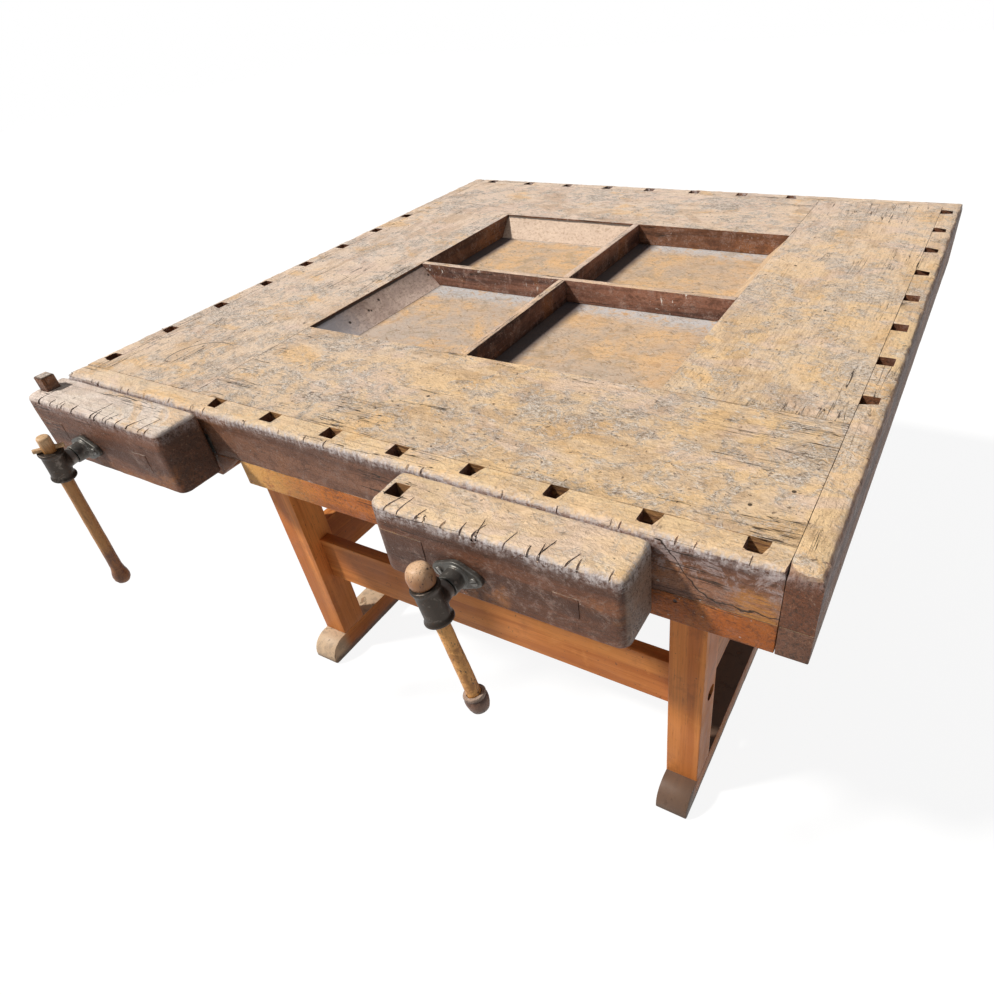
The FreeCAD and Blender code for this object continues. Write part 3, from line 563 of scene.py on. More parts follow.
def tray_floor_finish(name):
    """Thin boards, dusty blue-grey along their edges, with painted shadow beside the walls on their left."""
    f = Finish(name)
    here, grain = f.place(), f.along("X")
    fibre = f.noise(grain, (9, 260, 260), 4, 0.65)
    patches = f.noise(here, (10, 12, 12), 7, 0.72, 0.6)
    blots = f.noise(here, (46, 46, 46), 7, 0.76, 0.5)
    grit = f.noise(here, (190, 190, 190), 5, 0.74, 0.4)
    x, y = f.part(here, "X"), f.part(here, "Y")
    rough_way = 0.05 * (patches - 0.5) + 0.03 * (blots - 0.5)
    dust_and_shade = f.ramp(y + 1.2 * rough_way, -0.080, -0.022) * f.ramp(y, 0.0, -0.005)
    dust_and_shade = dust_and_shade.most(f.ramp(y + 1.2 * rough_way, 0.300, 0.352))
    # painted shadow: the floor darkens beside the walls on the left of each compartment, where their shadows fall
    beside = (x + TRAY_HALF + 2 * f.ramp(x, -0.01, 0.0)).least(abs(x - 0.008))
    grime_and_shade = f.ramp(beside + 0.3 * rough_way, 0.056, 0.028)
    scrawl = f.ramp(f.noise(f.turned(here, 40), (40, 250, 250), 3), 0.60, 0.68)
    scrawl = scrawl.most(f.ramp(f.noise(f.turned(here, -25), (38, 240, 240), 3), 0.60, 0.68))
    colour = f.mix(f.ramp(patches, 0.34, 0.66), (0.84, 0.535, 0.28), (0.64, 0.48, 0.35))
    colour = f.mix(f.ramp(x + y, 0.1, -0.45) * f.ramp(patches, 0.36, 0.56) * 0.6, colour, (0.58, 0.50, 0.45))
    colour = f.mix(f.ramp(blots, 0.50, 0.60) * 0.5, colour, ASH)
    colour = f.mix(f.ramp(blots, 0.45, 0.36) * 0.5, colour, (0.50, 0.28, 0.13))
    colour = f.mix(f.ramp(fibre, 0.44, 0.70) * 0.25, colour, (0.40, 0.25, 0.14))
    colour = f.mix(dust_and_shade * f.ramp(blots, 0.36, 0.50) * 0.85, colour, (0.60, 0.62, 0.65))
    colour = f.mix(f.ramp(grit, 0.50, 0.66) * (0.25 + 0.45 * f.ramp(blots, 0.46, 0.58)), colour, BARK)
    colour = f.mix(f.ramp(grit, 0.44, 0.32) * f.ramp(blots, 0.44, 0.56) * 0.4, colour, PALE)
    stain = f.ramp(f.noise(here, (23, 23, 23), 6, 0.72, 0.5, (4, 4, 4)), 0.52, 0.64)
    colour = f.mix(stain * 0.45, colour, (0.38, 0.28, 0.18))
    colour = f.mix(scrawl * f.ramp(blots, 0.42, 0.56) * 0.65, colour, BARK)
    # painted shadow beside the walls
    colour = f.mix(grime_and_shade * 0.9, colour, (0.06, 0.045, 0.05))
    return f.done(colour, 0.72, fibre * 0.2 + blots * 0.8 - grit * 0.7 - scrawl * 0.3, 0.9 * MM, 0.9)


def ramp_finish(name, along, light, dark, pitted=0.3, dusty=False):
    """A sloped board, pitted, with a dark gap under the top's edge."""
    f = Finish(name)
    here, grain = f.place(), f.along(along)
    fibre = f.noise(grain, (9, 200, 200), 4, 0.65)
    blots = f.noise(here, (44, 44, 44), 7, 0.78, 0.5)
    grit = f.noise(grain, (140, 220, 220), 5, 0.74)
    pits = f.ramp(f.cells(here, (38, 38, 38)), 0.14, 0.09)
    pits = pits * f.ramp(f.part(f.cells(here, (38, 38, 38), output="Color"), "X"), 1 - pitted, 1.02 - pitted)
    colour = f.mix(f.ramp(blots, 0.42, 0.58), dark, light)
    colour = f.mix(f.ramp(fibre, 0.44, 0.66) * 0.4, colour, dark)
    colour = f.mix(f.ramp(grit, 0.48, 0.64) * 0.5, colour, BARK)
    if dusty:
        colour = f.mix(f.ramp(f.part(here, "Y") + 0.1 * (blots - 0.5), -0.22, -0.33) * 0.8, colour, (0.44, 0.45, 0.50))
    colour = f.mix(pits * 0.92, colour, SOOT)
    colour = f.mix(f.ramp(f.part(here, "Z") + 0.004 * (blots - 0.5), 0.8325, 0.8345) * 0.94, colour, SOOT)
    return f.done(colour, 0.7, fibre * 0.3 + blots * 0.6 - grit * 0.6 - pits * 1.2, 0.9 * MM, 0.9)


def frame_finish(name, along, tone=1.0, foot=False):
    """Smooth varnished underframe, orange-brown; legs darken downwards, and feet are rubbed and grey at their noses,
    the rubbed parts pale and dusty on the left foot and painted dark as shade on the right.
    """
    f = Finish(name)
    here, grain = f.place(), f.along(along)
    fibre = f.noise(grain, (5, 230, 230), 4, 0.65)
    bands = f.noise(grain, (1.3, 30, 30), 4, 0.55, 0.5)
    blots = f.noise(here, (11, 11, 11), 6, 0.68, 0.3)
    flecks = f.ramp(f.noise(grain, (22, 430, 430), 3, 0.6), 0.60, 0.68)
    specks = f.ramp(f.noise(here, (130, 130, 130), 2), 0.68, 0.73)
    low, high = [tuple(tone * part for part in shade) for shade in ((0.46, 0.145, 0.034), (0.68, 0.26, 0.07))]
    colour = f.mix(f.ramp(bands, 0.36, 0.64), low, high)
    colour = f.mix(f.ramp(fibre, 0.44, 0.70) * 0.3, colour, (0.30, 0.085, 0.018))
    colour = f.mix(f.ramp(blots, 0.54, 0.70) * 0.45, colour, (0.80 * tone, 0.37 * tone, 0.13 * tone))
    colour = f.mix(f.ramp(blots, 0.44, 0.30) * 0.4, colour, (0.26, 0.08, 0.022))
    colour = f.mix(flecks * 0.4, colour, (0.15, 0.05, 0.014))
    colour = f.mix(specks * 0.6, colour, (0.10, 0.05, 0.025))
    # painted shade: the round walls of the bolt recesses in the legs are darkened where shade falls inside them
    off = abs(abs(f.part(here, "Y")) - LEG_MIDDLE_Y)
    deep = f.ramp(abs(f.part(here, "X")), BOLT_RECESS_FLOOR_X - 0.5 * MM, BOLT_RECESS_FLOOR_X + 0.5 * MM)
    recess_shade = f.ramp(off, BOLT_RECESS_RADIUS + 1.5 * MM, BOLT_RECESS_RADIUS + 0.5 * MM) * deep
    recess_shade = recess_shade * f.ramp(abs(f.facing("X")), 0.8, 0.6)
    colour = f.mix(recess_shade * 0.9, colour, SOOT)
    if along == "Z":
        colour = f.mix(f.ramp(f.part(here, "Z"), 0.40, 0.12) * 0.55, colour, (0.40, 0.14, 0.042))
    if foot:
        grime_and_shade = f.noise(here, (30, 30, 30), 6, 0.72, 0.3)
        x = f.part(here, "X")
        rub = f.ramp(f.facing("Z"), 0.25, 0.85).most(f.ramp(abs(f.part(here, "Y")), 0.485, 0.525))
        rub = rub * f.ramp(grime_and_shade, 0.26, 0.42)
        # the rubbed parts are pale and dusty on the left foot; on the right foot they are painted dark as shade
        dust_and_shade = f.mix(f.ramp(x, -0.1, 0.1), (0.62, 0.47, 0.32), (0.12, 0.085, 0.065))
        colour = f.mix(rub * 0.92, colour, dust_and_shade)
        colour = f.mix(f.ramp(grime_and_shade, 0.52, 0.62) * f.ramp(x, 0.1, -0.1) * rub * 0.5, colour, (0.30, 0.23, 0.18))
        colour = f.mix(f.ramp(grime_and_shade, 0.46, 0.38) * rub * 0.6, colour, (0.06, 0.04, 0.03))
        toe = f.ramp(f.part(here, "Z") + 0.025 * (grime_and_shade - 0.5), 0.024, 0.006)
        colour = f.mix(toe * 0.8, colour, (0.10, 0.065, 0.045))
    rough = 0.46 + 0.16 * f.ramp(blots, 0.4, 0.7)
    height = fibre * 0.4 - flecks * 0.5 + blots * 0.25 - specks * 0.3
    return f.done(colour, rough, height, 0.4 * MM, 0.55, **{"Specular IOR Level": 0.22})


def handle_finish(name, light, dark, freckles=0.6, along="Z", zones=()):
    """Turned wood, polished by hands and freckled with dirt; each zone, from a height up, has its own colour."""
    f = Finish(name)
    here, grain = f.place(), f.along(along)
    fibre = f.noise(grain, (14, 420, 420), 4, 0.65)
    blots = f.noise(here, (60, 60, 60), 6, 0.72, 0.4)
    flecks = f.ramp(f.noise(grain, (120, 380, 380), 3, 0.6), 0.58, 0.66)
    colour = f.mix(f.ramp(blots, 0.40, 0.60), dark, light)
    for low, high, shade in zones:
        colour = f.mix(f.ramp(f.part(here, "Z") + 0.024 * (blots - 0.5), low, high), colour, shade)
    colour = f.mix(f.ramp(fibre, 0.44, 0.68) * 0.4, colour, dark)
    colour = f.mix(flecks * freckles, colour, (0.05, 0.028, 0.018))
    return f.done(colour, 0.40 + 0.2 * blots, fibre * 0.4 - flecks * 0.4 + blots * 0.3, 0.35 * MM, 0.6)


def iron_finish(name, dark, bright, share, metal=0.75, rough=0.42, behind=None):
    """Cast iron with a sandy skin, rubbed bright in patches; it may be paler behind a place along y."""
    f = Finish(name)
    here = f.place()
    sand = f.noise(here, (700, 700, 700), 3, 0.6)
    blots = f.noise(here, (85, 85, 85), 6, 0.7, 0.3)
    rust = f.ramp(f.noise(here, (140, 140, 140), 4, 0.7, 0, (2, 5, 1)), 0.56, 0.68)
    colour = f.mix(f.ramp(blots, 0.62 - share, 0.80 - share), dark, bright)
    if behind:
        colour = f.mix(f.ramp(f.part(here, "Y"), behind - 0.002, behind + 0.002), colour, (0.24, 0.23, 0.215))
    colour = f.mix(rust * 0.45, colour, (0.12, 0.062, 0.036))
    return f.done(colour, rough + 0.3 * blots - 0.1, sand * 0.5 + blots * 0.7, 0.4 * MM, 0.7, Metallic=metal)


DIVIDER = {"top": ((0.94, 0.60, 0.34), (0.76, 0.50, 0.31)), "side": ((0.36, 0.165, 0.105), (0.06, 0.028, 0.024)),
           "scuffs": 0.35}
SCRATCH = (-0.470, -0.540, 0.065)
plank_x = bench_finish("plank_x", "X", arc=SCRATCH, sunlit_holes=True)
plank_y = bench_finish("plank_y", "Y", top=(HONEY, (0.92, 0.69, 0.47)), scuffs=0.65, arc=SCRATCH, sunlit_holes=True)
edge_x = bench_finish("edge_x", "X", top=((1.0, 0.73, 0.42), (1.0, 0.70, 0.41)),
                      side=((0.40, 0.19, 0.11), (0.15, 0.065, 0.04)), scuffs=0.3, edge_wear_and_sheen=0.75, amber=0.5, waxed=0.35,
                      split=(0.487, 0.829, 0.562, 0.764))
edge_y = bench_finish("edge_y", "Y", top=((1.0, 0.71, 0.40), (0.98, 0.68, 0.41)),
                      side=((0.27, 0.098, 0.04), (0.12, 0.042, 0.02)), scuffs=0.65, edge_wear_and_sheen=0.15, amber=0.55, waxed=0.1,
                      ends=(0.19, 0.072, 0.037))
lath_x = bench_finish("lath_x", "X", side=((0.66, 0.20, 0.03), (0.44, 0.12, 0.02)), amber=0.6, waxed=0.1, faded=True)
lath_y = bench_finish("lath_y", "Y", side=((0.34, 0.14, 0.06), (0.18, 0.075, 0.035)), ends=(0.18, 0.085, 0.055))
block_wood = bench_finish("block_wood", "X", side=((0.40, 0.155, 0.055), (0.22, 0.08, 0.032)), amber=0.6, waxed=0.1)
JAW = {"side": ((0.24, 0.094, 0.047), UMBER), "amber": 0.65}
jaw_wood = {"left": bench_finish("left_jaw_wood", "X", ((1.0, 0.86, 0.72), (1.0, 0.85, 0.75)), scuffs=0.3, edge_wear_and_sheen=0.38,
                                 waxed=0.1, ends=(0.12, 0.065, 0.045), shaded_pocket=JAW_DOG_HOLE["left"], **JAW),
            "right": bench_finish("right_jaw_wood", "X", ((1.0, 0.74, 0.46), (1.0, 0.72, 0.47)), scuffs=0.45, edge_wear_and_sheen=0.8,
                                  waxed=0.35, ends=(0.39, 0.28, 0.22), shaded_pocket=JAW_DOG_HOLE["right"], **JAW)}
cover_wood = bench_finish("cover_wood", "X", ((0.16, 0.08, 0.05), UMBER), ((0.21, 0.085, 0.045), UMBER),
                          amber=0.2, waxed=0.3)
divider_x = bench_finish("divider_x", "X", drips=True, **DIVIDER)
divider_y = bench_finish("divider_y", "Y", **DIVIDER)
tray_boards = tray_floor_finish("tray_boards")
ramp_light = ramp_finish("ramp_light", "X", (0.74, 0.57, 0.44), (0.66, 0.50, 0.385), 0.06)
ramp_grey = ramp_finish("ramp_grey", "Y", (0.92, 0.72, 0.61), (0.72, 0.54, 0.46), 0.45, True)
ramp_tan = ramp_finish("ramp_tan", "Y", (0.80, 0.58, 0.38), (0.62, 0.43, 0.27), 0.1)
frame_x = frame_finish("frame_x", "X")
frame_y = frame_finish("frame_y", "Y", 0.95)
frame_z = frame_finish("frame_z", "Z", 1.28)
foot_wood = frame_finish("foot_wood", "Y", foot=True)
right_handle_wood = handle_finish("right_handle_wood", (0.92, 0.47, 0.15), (0.48, 0.21, 0.055), 0.85, zones=(
    (0.792, 0.797, (0.36, 0.17, 0.085)), (0.806, 0.834, (0.88, 0.60, 0.38))))
left_handle_wood = handle_finish("left_handle_wood", (0.34, 0.14, 0.05), (0.16, 0.062, 0.03), 0.2, zones=(
    (0.556, 0.580, (0.52, 0.25, 0.08)), (0.800, 0.815, (0.78, 0.50, 0.27))))
peg_wood = handle_finish("peg_wood", (0.84, 0.58, 0.33), (0.54, 0.32, 0.15), 0.3, "Y")
knob_wood = handle_finish("knob_wood", (0.22, 0.115, 0.075), (0.10, 0.052, 0.036), 0.3, zones=(
    (0.604, 0.614, (0.50, 0.38, 0.30)),))
dog_wood = bench_finish("dog_wood", "Z", top=((0.72, 0.50, 0.31), (0.54, 0.36, 0.23)),
                        side=((0.20, 0.11, 0.075), UMBER))
hub_iron = iron_finish("hub_iron", (0.065, 0.052, 0.043), (0.20, 0.17, 0.145), 0.10, behind=-0.7985)
flange_iron = iron_finish("flange_iron", (0.12, 0.115, 0.105), (0.30, 0.285, 0.26), 0.12, 0.7, 0.44)
thread_steel = iron_finish("thread_steel", (0.16, 0.15, 0.14), (0.36, 0.35, 0.33), 0.12, 0.9, 0.34)
bolt_steel = iron_finish("bolt_steel", (0.11, 0.115, 0.095), (0.22, 0.22, 0.19), 0.1, 0.8, 0.5)


# The top, its edges and the tray

SIDES = {"front": ("X", plank_x, edge_x, lath_x), "right": ("Y", plank_y, edge_y, lath_y),
         "back": ("X", plank_x, edge_x, lath_x), "left": ("Y", plank_y, edge_y, lath_y)}
AXIS = {"X": 0, "Y": 1, "Z": 2}


def aged(piece, spacing, depth, scale=45 * MM, axes=(0, 1)):
    for axis in axes:
        sliced(piece, axis, spacing)
    return smoothed(worn(piece, depth, scale))


def weathered(node, soften, spacing, depth, scale=45 * MM, axes=(0, 1)):
    return aged(softened(copied(node), soften), spacing, depth, scale, axes)


def outer_edge(vertex):
    """1 on the outer top edge of the bench, 0 from 12 mm away."""
    inset = HALF_TOP - max(abs(vertex.x), abs(vertex.y))
    return 1 - math.hypot(max(inset, 0), TOP_Z - vertex.z) / (12 * MM)


def make_strip(side, along):
    strip = softened(copied(side + "_dog_strip"), 0.4 * MM)
    for axis in (AXIS[along], 2):
        sliced(strip, axis, 8 * MM)
    rounded(strip, outer_edge, 44)
    turn = Matrix.Rotation(math.radians(90) * list(SIDES).index(side), 3, "Z")
    start, end = turn @ Vector((-HALF_TOP, -HALF_TOP, TOP_Z)), turn @ Vector((0.62, -HALF_TOP, TOP_Z))
    count, rounds = (30, 2) if side == "front" else (12, 1)
    nicked(strip, start, end, turn @ Vector((0, 1, 0)), count, 11 + len(side), (5 * MM, 13 * MM), (4 * MM, 12 * MM),
           (0.4 * MM, 1.1 * MM), rounds)
    worn(strip, 0.8 * MM, 30 * MM)
    return smoothed(rubbed(strip, 7 * MM, 20 * MM, outer_edge))


for side, (along, face, edge, lath) in SIDES.items():
    kept(weathered(side + "_plank", 0.35 * MM, 24 * MM, 0.8 * MM), side + "_plank", face)
    kept(make_strip(side, along), side + "_dog_strip", edge)
    kept(weathered(side + "_lath", 1.4 * MM, 22 * MM, 0.8 * MM, 45 * MM, (AXIS[along],)), side + "_lath", lath)
kept(weathered("left_vise_block", 1.6 * MM, 20 * MM, 0.8 * MM), "left_vise_block", block_wood)
kept(weathered("tray_floor", 0.8 * MM, 30 * MM, 0.6 * MM), "tray_floor", tray_boards)
kept(weathered("cross_divider", 1.6 * MM, 20 * MM, 0.8 * MM, axes=(0,)), "cross_divider", divider_x)
kept(weathered("long_divider", 1.6 * MM, 20 * MM, 0.8 * MM, axes=(1,)), "long_divider", divider_y)
for corner, wood in (("back_left", ramp_light), ("front_left", ramp_grey), ("front_right", ramp_light),
                     ("back_right", ramp_tan)):
    kept(weathered(corner + "_ramp", 0.6 * MM, 25 * MM, 0.5 * MM), corner + "_ramp", wood)

# The trestles
for hand in ("left", "right"):
    kept(weathered(hand + "_foot", 2.2 * MM, 22 * MM, 1.0 * MM, axes=(1,)), hand + "_foot", foot_wood)
    kept(weathered(hand + "_bearer", 1.6 * MM, 60 * MM, 0.5 * MM, axes=(1,)), hand + "_bearer", frame_y)
    kept(weathered(hand + "_side_rail", 0.8 * MM, 40 * MM, 0.5 * MM, axes=(1,)), hand + "_side_rail", frame_y)
    for place in ("front", "back"):
        node = place + "_" + hand + "_leg"
        kept(weathered(node, 0.8 * MM, 30 * MM, 0.7 * MM, axes=(2,)), node, frame_z)
for place in ("front", "back"):
    kept(weathered(place + "_stretcher", 0.8 * MM, 30 * MM, 0.6 * MM, axes=(0,)), place + "_stretcher", frame_x)
for node in ("stretcher_bolts", "stretcher_nuts", "bearer_screws"):
    kept(smoothed(softened(copied(node), 0.7 * MM)), node, bolt_steel)


# The vises

def jaw_edge(hand):
    """1 on the front and end top edges of a jaw, 0 from 18 mm away."""
    left, right = JAW_LEFT[hand], JAW_LEFT[hand] + JAW_LENGTH

    def near(vertex):
        inset = min(vertex.y - JAW_FRONT, vertex.x - left, right - vertex.x)
        return 1 - math.hypot(max(inset, 0), TOP_Z - vertex.z) / (18 * MM)
    return near


def make_jaw(hand):
    jaw = softened(copied(hand + "_jaw"), 0.8 * MM)
    for axis in (0, 1, 2):
        sliced(jaw, axis, 6 * MM)
    rounded(jaw, jaw_edge(hand), 60)
    left = JAW_LEFT[hand]
    sizes = {"left": (14, 5, (16 * MM, 50 * MM), (4 * MM, 9 * MM)),
             "right": (15, 8, (10 * MM, 36 * MM), (5 * MM, 11 * MM))}
    count, seed, reach, drop = sizes[hand]
    nicked(jaw, (left + 30 * MM, JAW_FRONT, TOP_Z), (left + 345 * MM, JAW_FRONT, TOP_Z), (0.12, 0.993, 0), count, seed,
           reach, drop, (0.45 * MM, 1.1 * MM), 3)
    worn(jaw, 1.2 * MM, 26 * MM)
    return smoothed(rubbed(jaw, 4 * MM, 24 * MM, jaw_edge(hand)))


def upright(hand):
    """From a turned piece about Z to the hub of a vise, leaning with its handle."""
    lean = Matrix.Rotation(-HANDLE_TILT[hand], 4, "Y")
    return Matrix.Translation((SCREW_X[hand], HUB_Y, SCREW_Z)) @ lean


def forward(hand, y=0.0):
    """From a turned piece about Z to the axis of a vise's screw, with Z running back along it."""
    return Matrix.Translation((SCREW_X[hand], y, SCREW_Z)) @ Matrix.Rotation(math.radians(-90), 4, "X")


def in_mm(pairs):
    return [(radius * MM, height * MM) for radius, height in pairs]


def make_hub(hand):
    """The cast T hub: a short tube with a beaded mouth and a flared foot, on a tapered throat."""
    tube = spun("tube", in_mm([(0, -28), (18.6, -28), (20, -26.6), (20, -24), (18.6, -22), (17.4, -19), (17.3, 0),
                               (17.4, 19), (18.4, 21.5), (19.4, 23.5), (19.6, 26.6), (18.6, 28), (0, 28)]))
    placed(tube, upright(hand))
    throat = spun("throat", in_mm([(0, 0), (16.4, 0), (15.6, 12), (14.2, 20), (13.5, 28.4), (0, 28.4)]))
    placed(throat, forward(hand, HUB_Y))
    hub = joined(hand + "_hub", [tube, throat])
    modified(hub, "REMESH", mode="VOXEL", voxel_size=0.9 * MM)
    modified(hub, "SMOOTH", factor=0.5, iterations=7)
    bore = {"left": 11.2 * MM, "right": 11.0 * MM}[hand]
    drill = added("drill", bpy.ops.mesh.primitive_cylinder_add, vertices=48, radius=bore, depth=80 * MM)
    cut_by(hub, placed(drill, upright(hand)))
    return smoothed(hub, 45)


def make_thread(hand):
    """Neck, collar and square thread of a vise's screw."""
    pitch = in_mm([(10.3, 0), (10.3, 2.3), (12.4, 2.9), (12.4, 5.3), (10.3, 6.0)])
    thread = profile(hand + "_thread", [(radius, 0, height) for radius, height in pitch])
    modified(thread, "SCREW", axis="Z", screw_offset=SCREW_LEAD, iterations=51, steps=20, render_steps=20,
             use_merge_vertices=True, merge_threshold=0.01 * MM, use_smooth_shade=False)
    placed(thread, forward(hand, -744 * MM))
    core = spun("core", in_mm([(0, -788), (10.9, -788), (10.9, -760), (16.9, -759.6), (16.9, -753.8), (12.3, -753.6),
                               (12.3, -744), (10.4, -743.5), (10.4, -436), (8.5, -433.2), (0, -433)]))
    placed(core, forward(hand))
    return smoothed(joined(hand + "_screw_thread", [core, thread]), 35)


def screw_head(name, radius, height):
    """A round slotted screw head, its seat at the origin and its crown along Z."""
    head = spun(name, [(0, 0), (radius, 0), (radius, 0.3 * height), (0.86 * radius, 0.72 * height),
                       (0.5 * radius, 0.95 * height), (0, height)], 20)
    slot = boxed("slot", (-0.13 * radius, -2 * radius, 0.45 * height), (0.13 * radius, 2 * radius, 2 * height))
    return cut_by(head, slot)


def screw_heads(name, places, toward, radius, height, seed):
    """One slotted head copied to each place, each with its own turn."""
    rng = random.Random(seed)
    heads = []
    for place in places:
        head = screw_head(name, radius, height)
        turn = Vector((0, 0, 1)).rotation_difference(Vector(toward)).to_matrix().to_4x4()
        placed(head, Matrix.Translation(place) @ turn @ Matrix.Rotation(rng.uniform(0, math.pi), 4, "Z"))
        heads.append(head)
    return smoothed(joined(name, heads), 40)


def make_flange(hand):
    flange = copied(hand + "_flange")
    modified(flange, "REMESH", mode="VOXEL", voxel_size=0.8 * MM)
    modified(flange, "SMOOTH", factor=0.5, iterations=4)
    return smoothed(flange, 50)


def make_flange_screws(hand):
    screws = copied(hand + "_flange_screws")
    slots = []
    for number, side in enumerate((-27 * MM, 27 * MM)):
        slot = boxed("slot", (-0.8 * MM, -7 * MM, 1.3 * MM), (0.8 * MM, 7 * MM, 6 * MM))
        place = Matrix.Translation((SCREW_X[hand] + side, JAW_FRONT - 7 * MM, SCREW_Z))
        turn = Matrix.Rotation(math.radians(90), 4, "X") @ Matrix.Rotation(0.7 + 1.3 * number, 4, "Z")
        slots.append(placed(slot, place @ turn))
    return smoothed(cut_by(screws, joined("slots", slots)))


for hand in ("left", "right"):
    kept(make_jaw(hand), hand + "_jaw", jaw_wood[hand])
    cover = weathered(hand + "_jaw_cover", 0.3 * MM, 8 * MM, 1.2 * MM, 26 * MM)
    kept(cover, hand + "_jaw_cover", cover_wood)
    kept(smoothed(softened(copied(hand + "_guide_plug"), 0.3 * MM)), hand + "_guide_plug", cover_wood)
    kept(make_flange(hand), hand + "_flange", flange_iron)
    kept(make_flange_screws(hand), hand + "_flange_screws", hub_iron)
    kept(make_hub(hand), hand + "_screw", hub_iron)
    extra(make_thread(hand), hand + "_screw", thread_steel)
    kept(smoothed(softened(copied(hand + "_nut"), 1.0 * MM)), hand + "_nut", hub_iron)
    kept(smoothed(softened(copied(hand + "_guide_rod"), 1.0 * MM)), hand + "_guide_rod", thread_steel)
    kept(smoothed(softened(copied(hand + "_guide_bush"), 0.4 * MM)), hand + "_guide_bush", flange_iron)
    nut_screws = [(SCREW_X[hand] + side, -627 * MM, SCREW_Z) for side in (-36 * MM, 36 * MM)]
    extra(screw_heads(hand + "_nut_screws", nut_screws, (0, 1, 0), 5 * MM, 2.6 * MM, 3), "bench",
          bolt_steel)
    plate_screws = [(GUIDE_X[hand] + side, -674.8 * MM, GUIDE_Z) for side in (-52 * MM, -30 * MM, 30 * MM, 52 * MM)]
    extra(screw_heads(hand + "_bush_screws", plate_screws, (0, -1, 0), 4.4 * MM, 0.5 * MM, 4), "bench",
          bolt_steel)

grip = spun("right_handle_grip", in_mm([
    (0, -180), (10.3, -180), (10.6, -150), (10.4, -110), (10.1, -70), (10.4, -30), (10.5, 0), (10.6, 28.2),
    (15.2, 28.3), (16.6, 31), (17.7, 36), (17.9, 41), (17.2, 46.5), (15.4, 51.6), (12.6, 55.6), (10.6, 57.2),
    (5.5, 58.4), (0, 58.8)]), 36)
worn(sliced(placed(grip, upright("right")), 2, 5 * MM), 0.7 * MM, 16 * MM)
kept(smoothed(grip, 60), "right_handle", right_handle_wood)
knob = spun("right_grip_knob", in_mm([
    (0, -193.8), (9.5, -193.4), (13.2, -190.5), (15.4, -184), (16.7, -176), (16.8, -170.5), (15.6, -168.2),
    (15.2, -167), (16.2, -165.4), (16.4, -162.5), (15.2, -160.4), (10.9, -160.2), (10.75, -177.8), (0, -178)]), 36)
kept(smoothed(worn(placed(knob, upright("right")), 0.6 * MM, 14 * MM), 60), "right_handle_knob", knob_wood)
long_grip = spun("left_handle_grip", in_mm([
    (0, -291.8), (6.5, -291), (11.4, -287.6), (14.6, -281), (15.4, -273.5), (14.4, -266), (12.4, -258), (11.1, -248),
    (10.7, -230), (10.7, -150), (10.4, -80), (10.6, -20), (10.8, 40), (10.7, 52), (9.6, 54.6),
    (7.5, 55.7), (0, 55.9)]), 36)
worn(sliced(placed(long_grip, upright("left")), 2, 6 * MM), 0.7 * MM, 16 * MM)
kept(smoothed(long_grip, 60), "left_handle", left_handle_wood)
kept(smoothed(softened(copied("left_handle_pin"), 1.2 * MM)), "left_handle_pin", peg_wood)
kept(weathered("left_dog", 0.8 * MM, 8 * MM, 0.5 * MM, 20 * MM, (2,)), "left_dog", dog_wood)


# Stage, light and camera

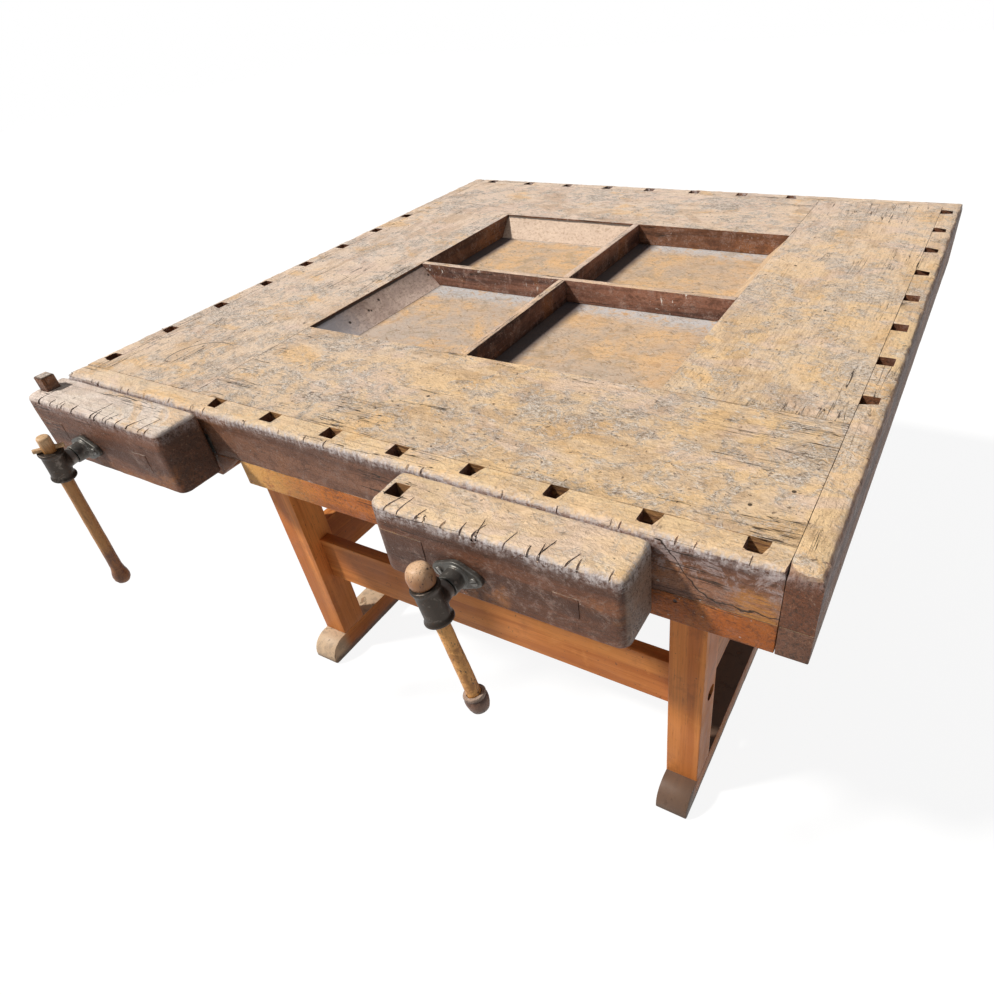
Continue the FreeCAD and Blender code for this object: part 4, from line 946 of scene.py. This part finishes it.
def make_stage():
    floor = added("floor", bpy.ops.mesh.primitive_plane_add, size=24, location=(0, 0, 0))
    f = Finish("floor_paint")
    rays = [f.add("ShaderNodeLightPath", output=name)
            for name in ("Is Camera Ray", "Is Glossy Ray", "Is Transmission Ray")]
    seen = rays[0].most(rays[1]).most(rays[2])
    near_floor = f.add("ShaderNodeBsdfDiffuse", None, {"Color": (0.90, 0.90, 0.90, 1)})
    glow = f.add("ShaderNodeEmission", None, {"Color": (1, 1, 1, 1), "Strength": 1.06})
    pale = f.add("ShaderNodeMixShader", None, {0: 0.85, 1: near_floor, 2: glow})
    bounce = f.add("ShaderNodeBsdfDiffuse", None, {"Color": (0.50, 0.47, 0.44, 1)})
    both = f.add("ShaderNodeMixShader", None, {0: seen, 1: bounce, 2: pale})
    f.tree.links.new(both.socket, f.tree.nodes["Material Output"].inputs["Surface"])
    floor.data.materials.append(f.material)

    world = bpy.data.worlds.new("studio")
    bpy.context.scene.world = world
    world.use_nodes = True
    tree = world.node_tree
    backing = tree.nodes["Background"]
    backing.inputs["Color"].default_value = (0.93, 0.96, 1.0, 1)
    backing.inputs["Strength"].default_value = 0.23
    white = tree.nodes.new("ShaderNodeBackground")
    white.inputs["Color"].default_value = (1, 1, 1, 1)
    path = tree.nodes.new("ShaderNodeLightPath")
    mixer = tree.nodes.new("ShaderNodeMixShader")
    tree.links.new(path.outputs["Is Camera Ray"], mixer.inputs[0])
    tree.links.new(backing.outputs[0], mixer.inputs[1])
    tree.links.new(white.outputs[0], mixer.inputs[2])
    tree.links.new(mixer.outputs[0], tree.nodes["World Output"].inputs["Surface"])


def make_lights():
    sun = bpy.data.lights.new("key", "SUN")
    sun.energy = 3.55
    sun.angle = math.radians(5)
    sun.color = (1.0, 0.965, 0.91)
    key = bpy.data.objects.new("key", sun)
    bpy.context.collection.objects.link(key)
    towards = Vector((0.66, 0.52, -0.95))
    key.rotation_euler = towards.to_track_quat("-Z", "Y").to_euler()


def make_camera():
    """The photograph's viewpoint, turn and frame."""
    yaw, pitch, roll = math.radians(32.66), math.radians(39.54), math.radians(-6.18)
    focal_pixels, frame_pixels = 697.1, 995
    centre_x, centre_y = 561.9, 528.9
    forward = Vector((-math.sin(yaw) * math.cos(pitch), math.cos(yaw) * math.cos(pitch), -math.sin(pitch)))
    right = Vector((math.cos(yaw), math.sin(yaw), 0))
    up = right.cross(forward)
    turned_right = math.cos(roll) * right + math.sin(roll) * up
    turned_up = -math.sin(roll) * right + math.cos(roll) * up
    turn = Matrix((turned_right, turned_up, -forward)).transposed().to_4x4()
    lens = bpy.data.cameras.new("view")
    lens.sensor_width = 36
    lens.lens = focal_pixels / frame_pixels * lens.sensor_width
    lens.shift_x = (994 / 2 - centre_x) / frame_pixels
    lens.shift_y = (centre_y - 995 / 2) / frame_pixels
    camera = bpy.data.objects.new("view", lens)
    bpy.context.collection.objects.link(camera)
    camera.matrix_world = Matrix.Translation((0.72104, -1.23458, 1.35678)) @ turn
    bpy.context.scene.camera = camera


make_stage()
make_lights()
make_camera()
bpy.context.scene.view_settings.view_transform = "Standard"
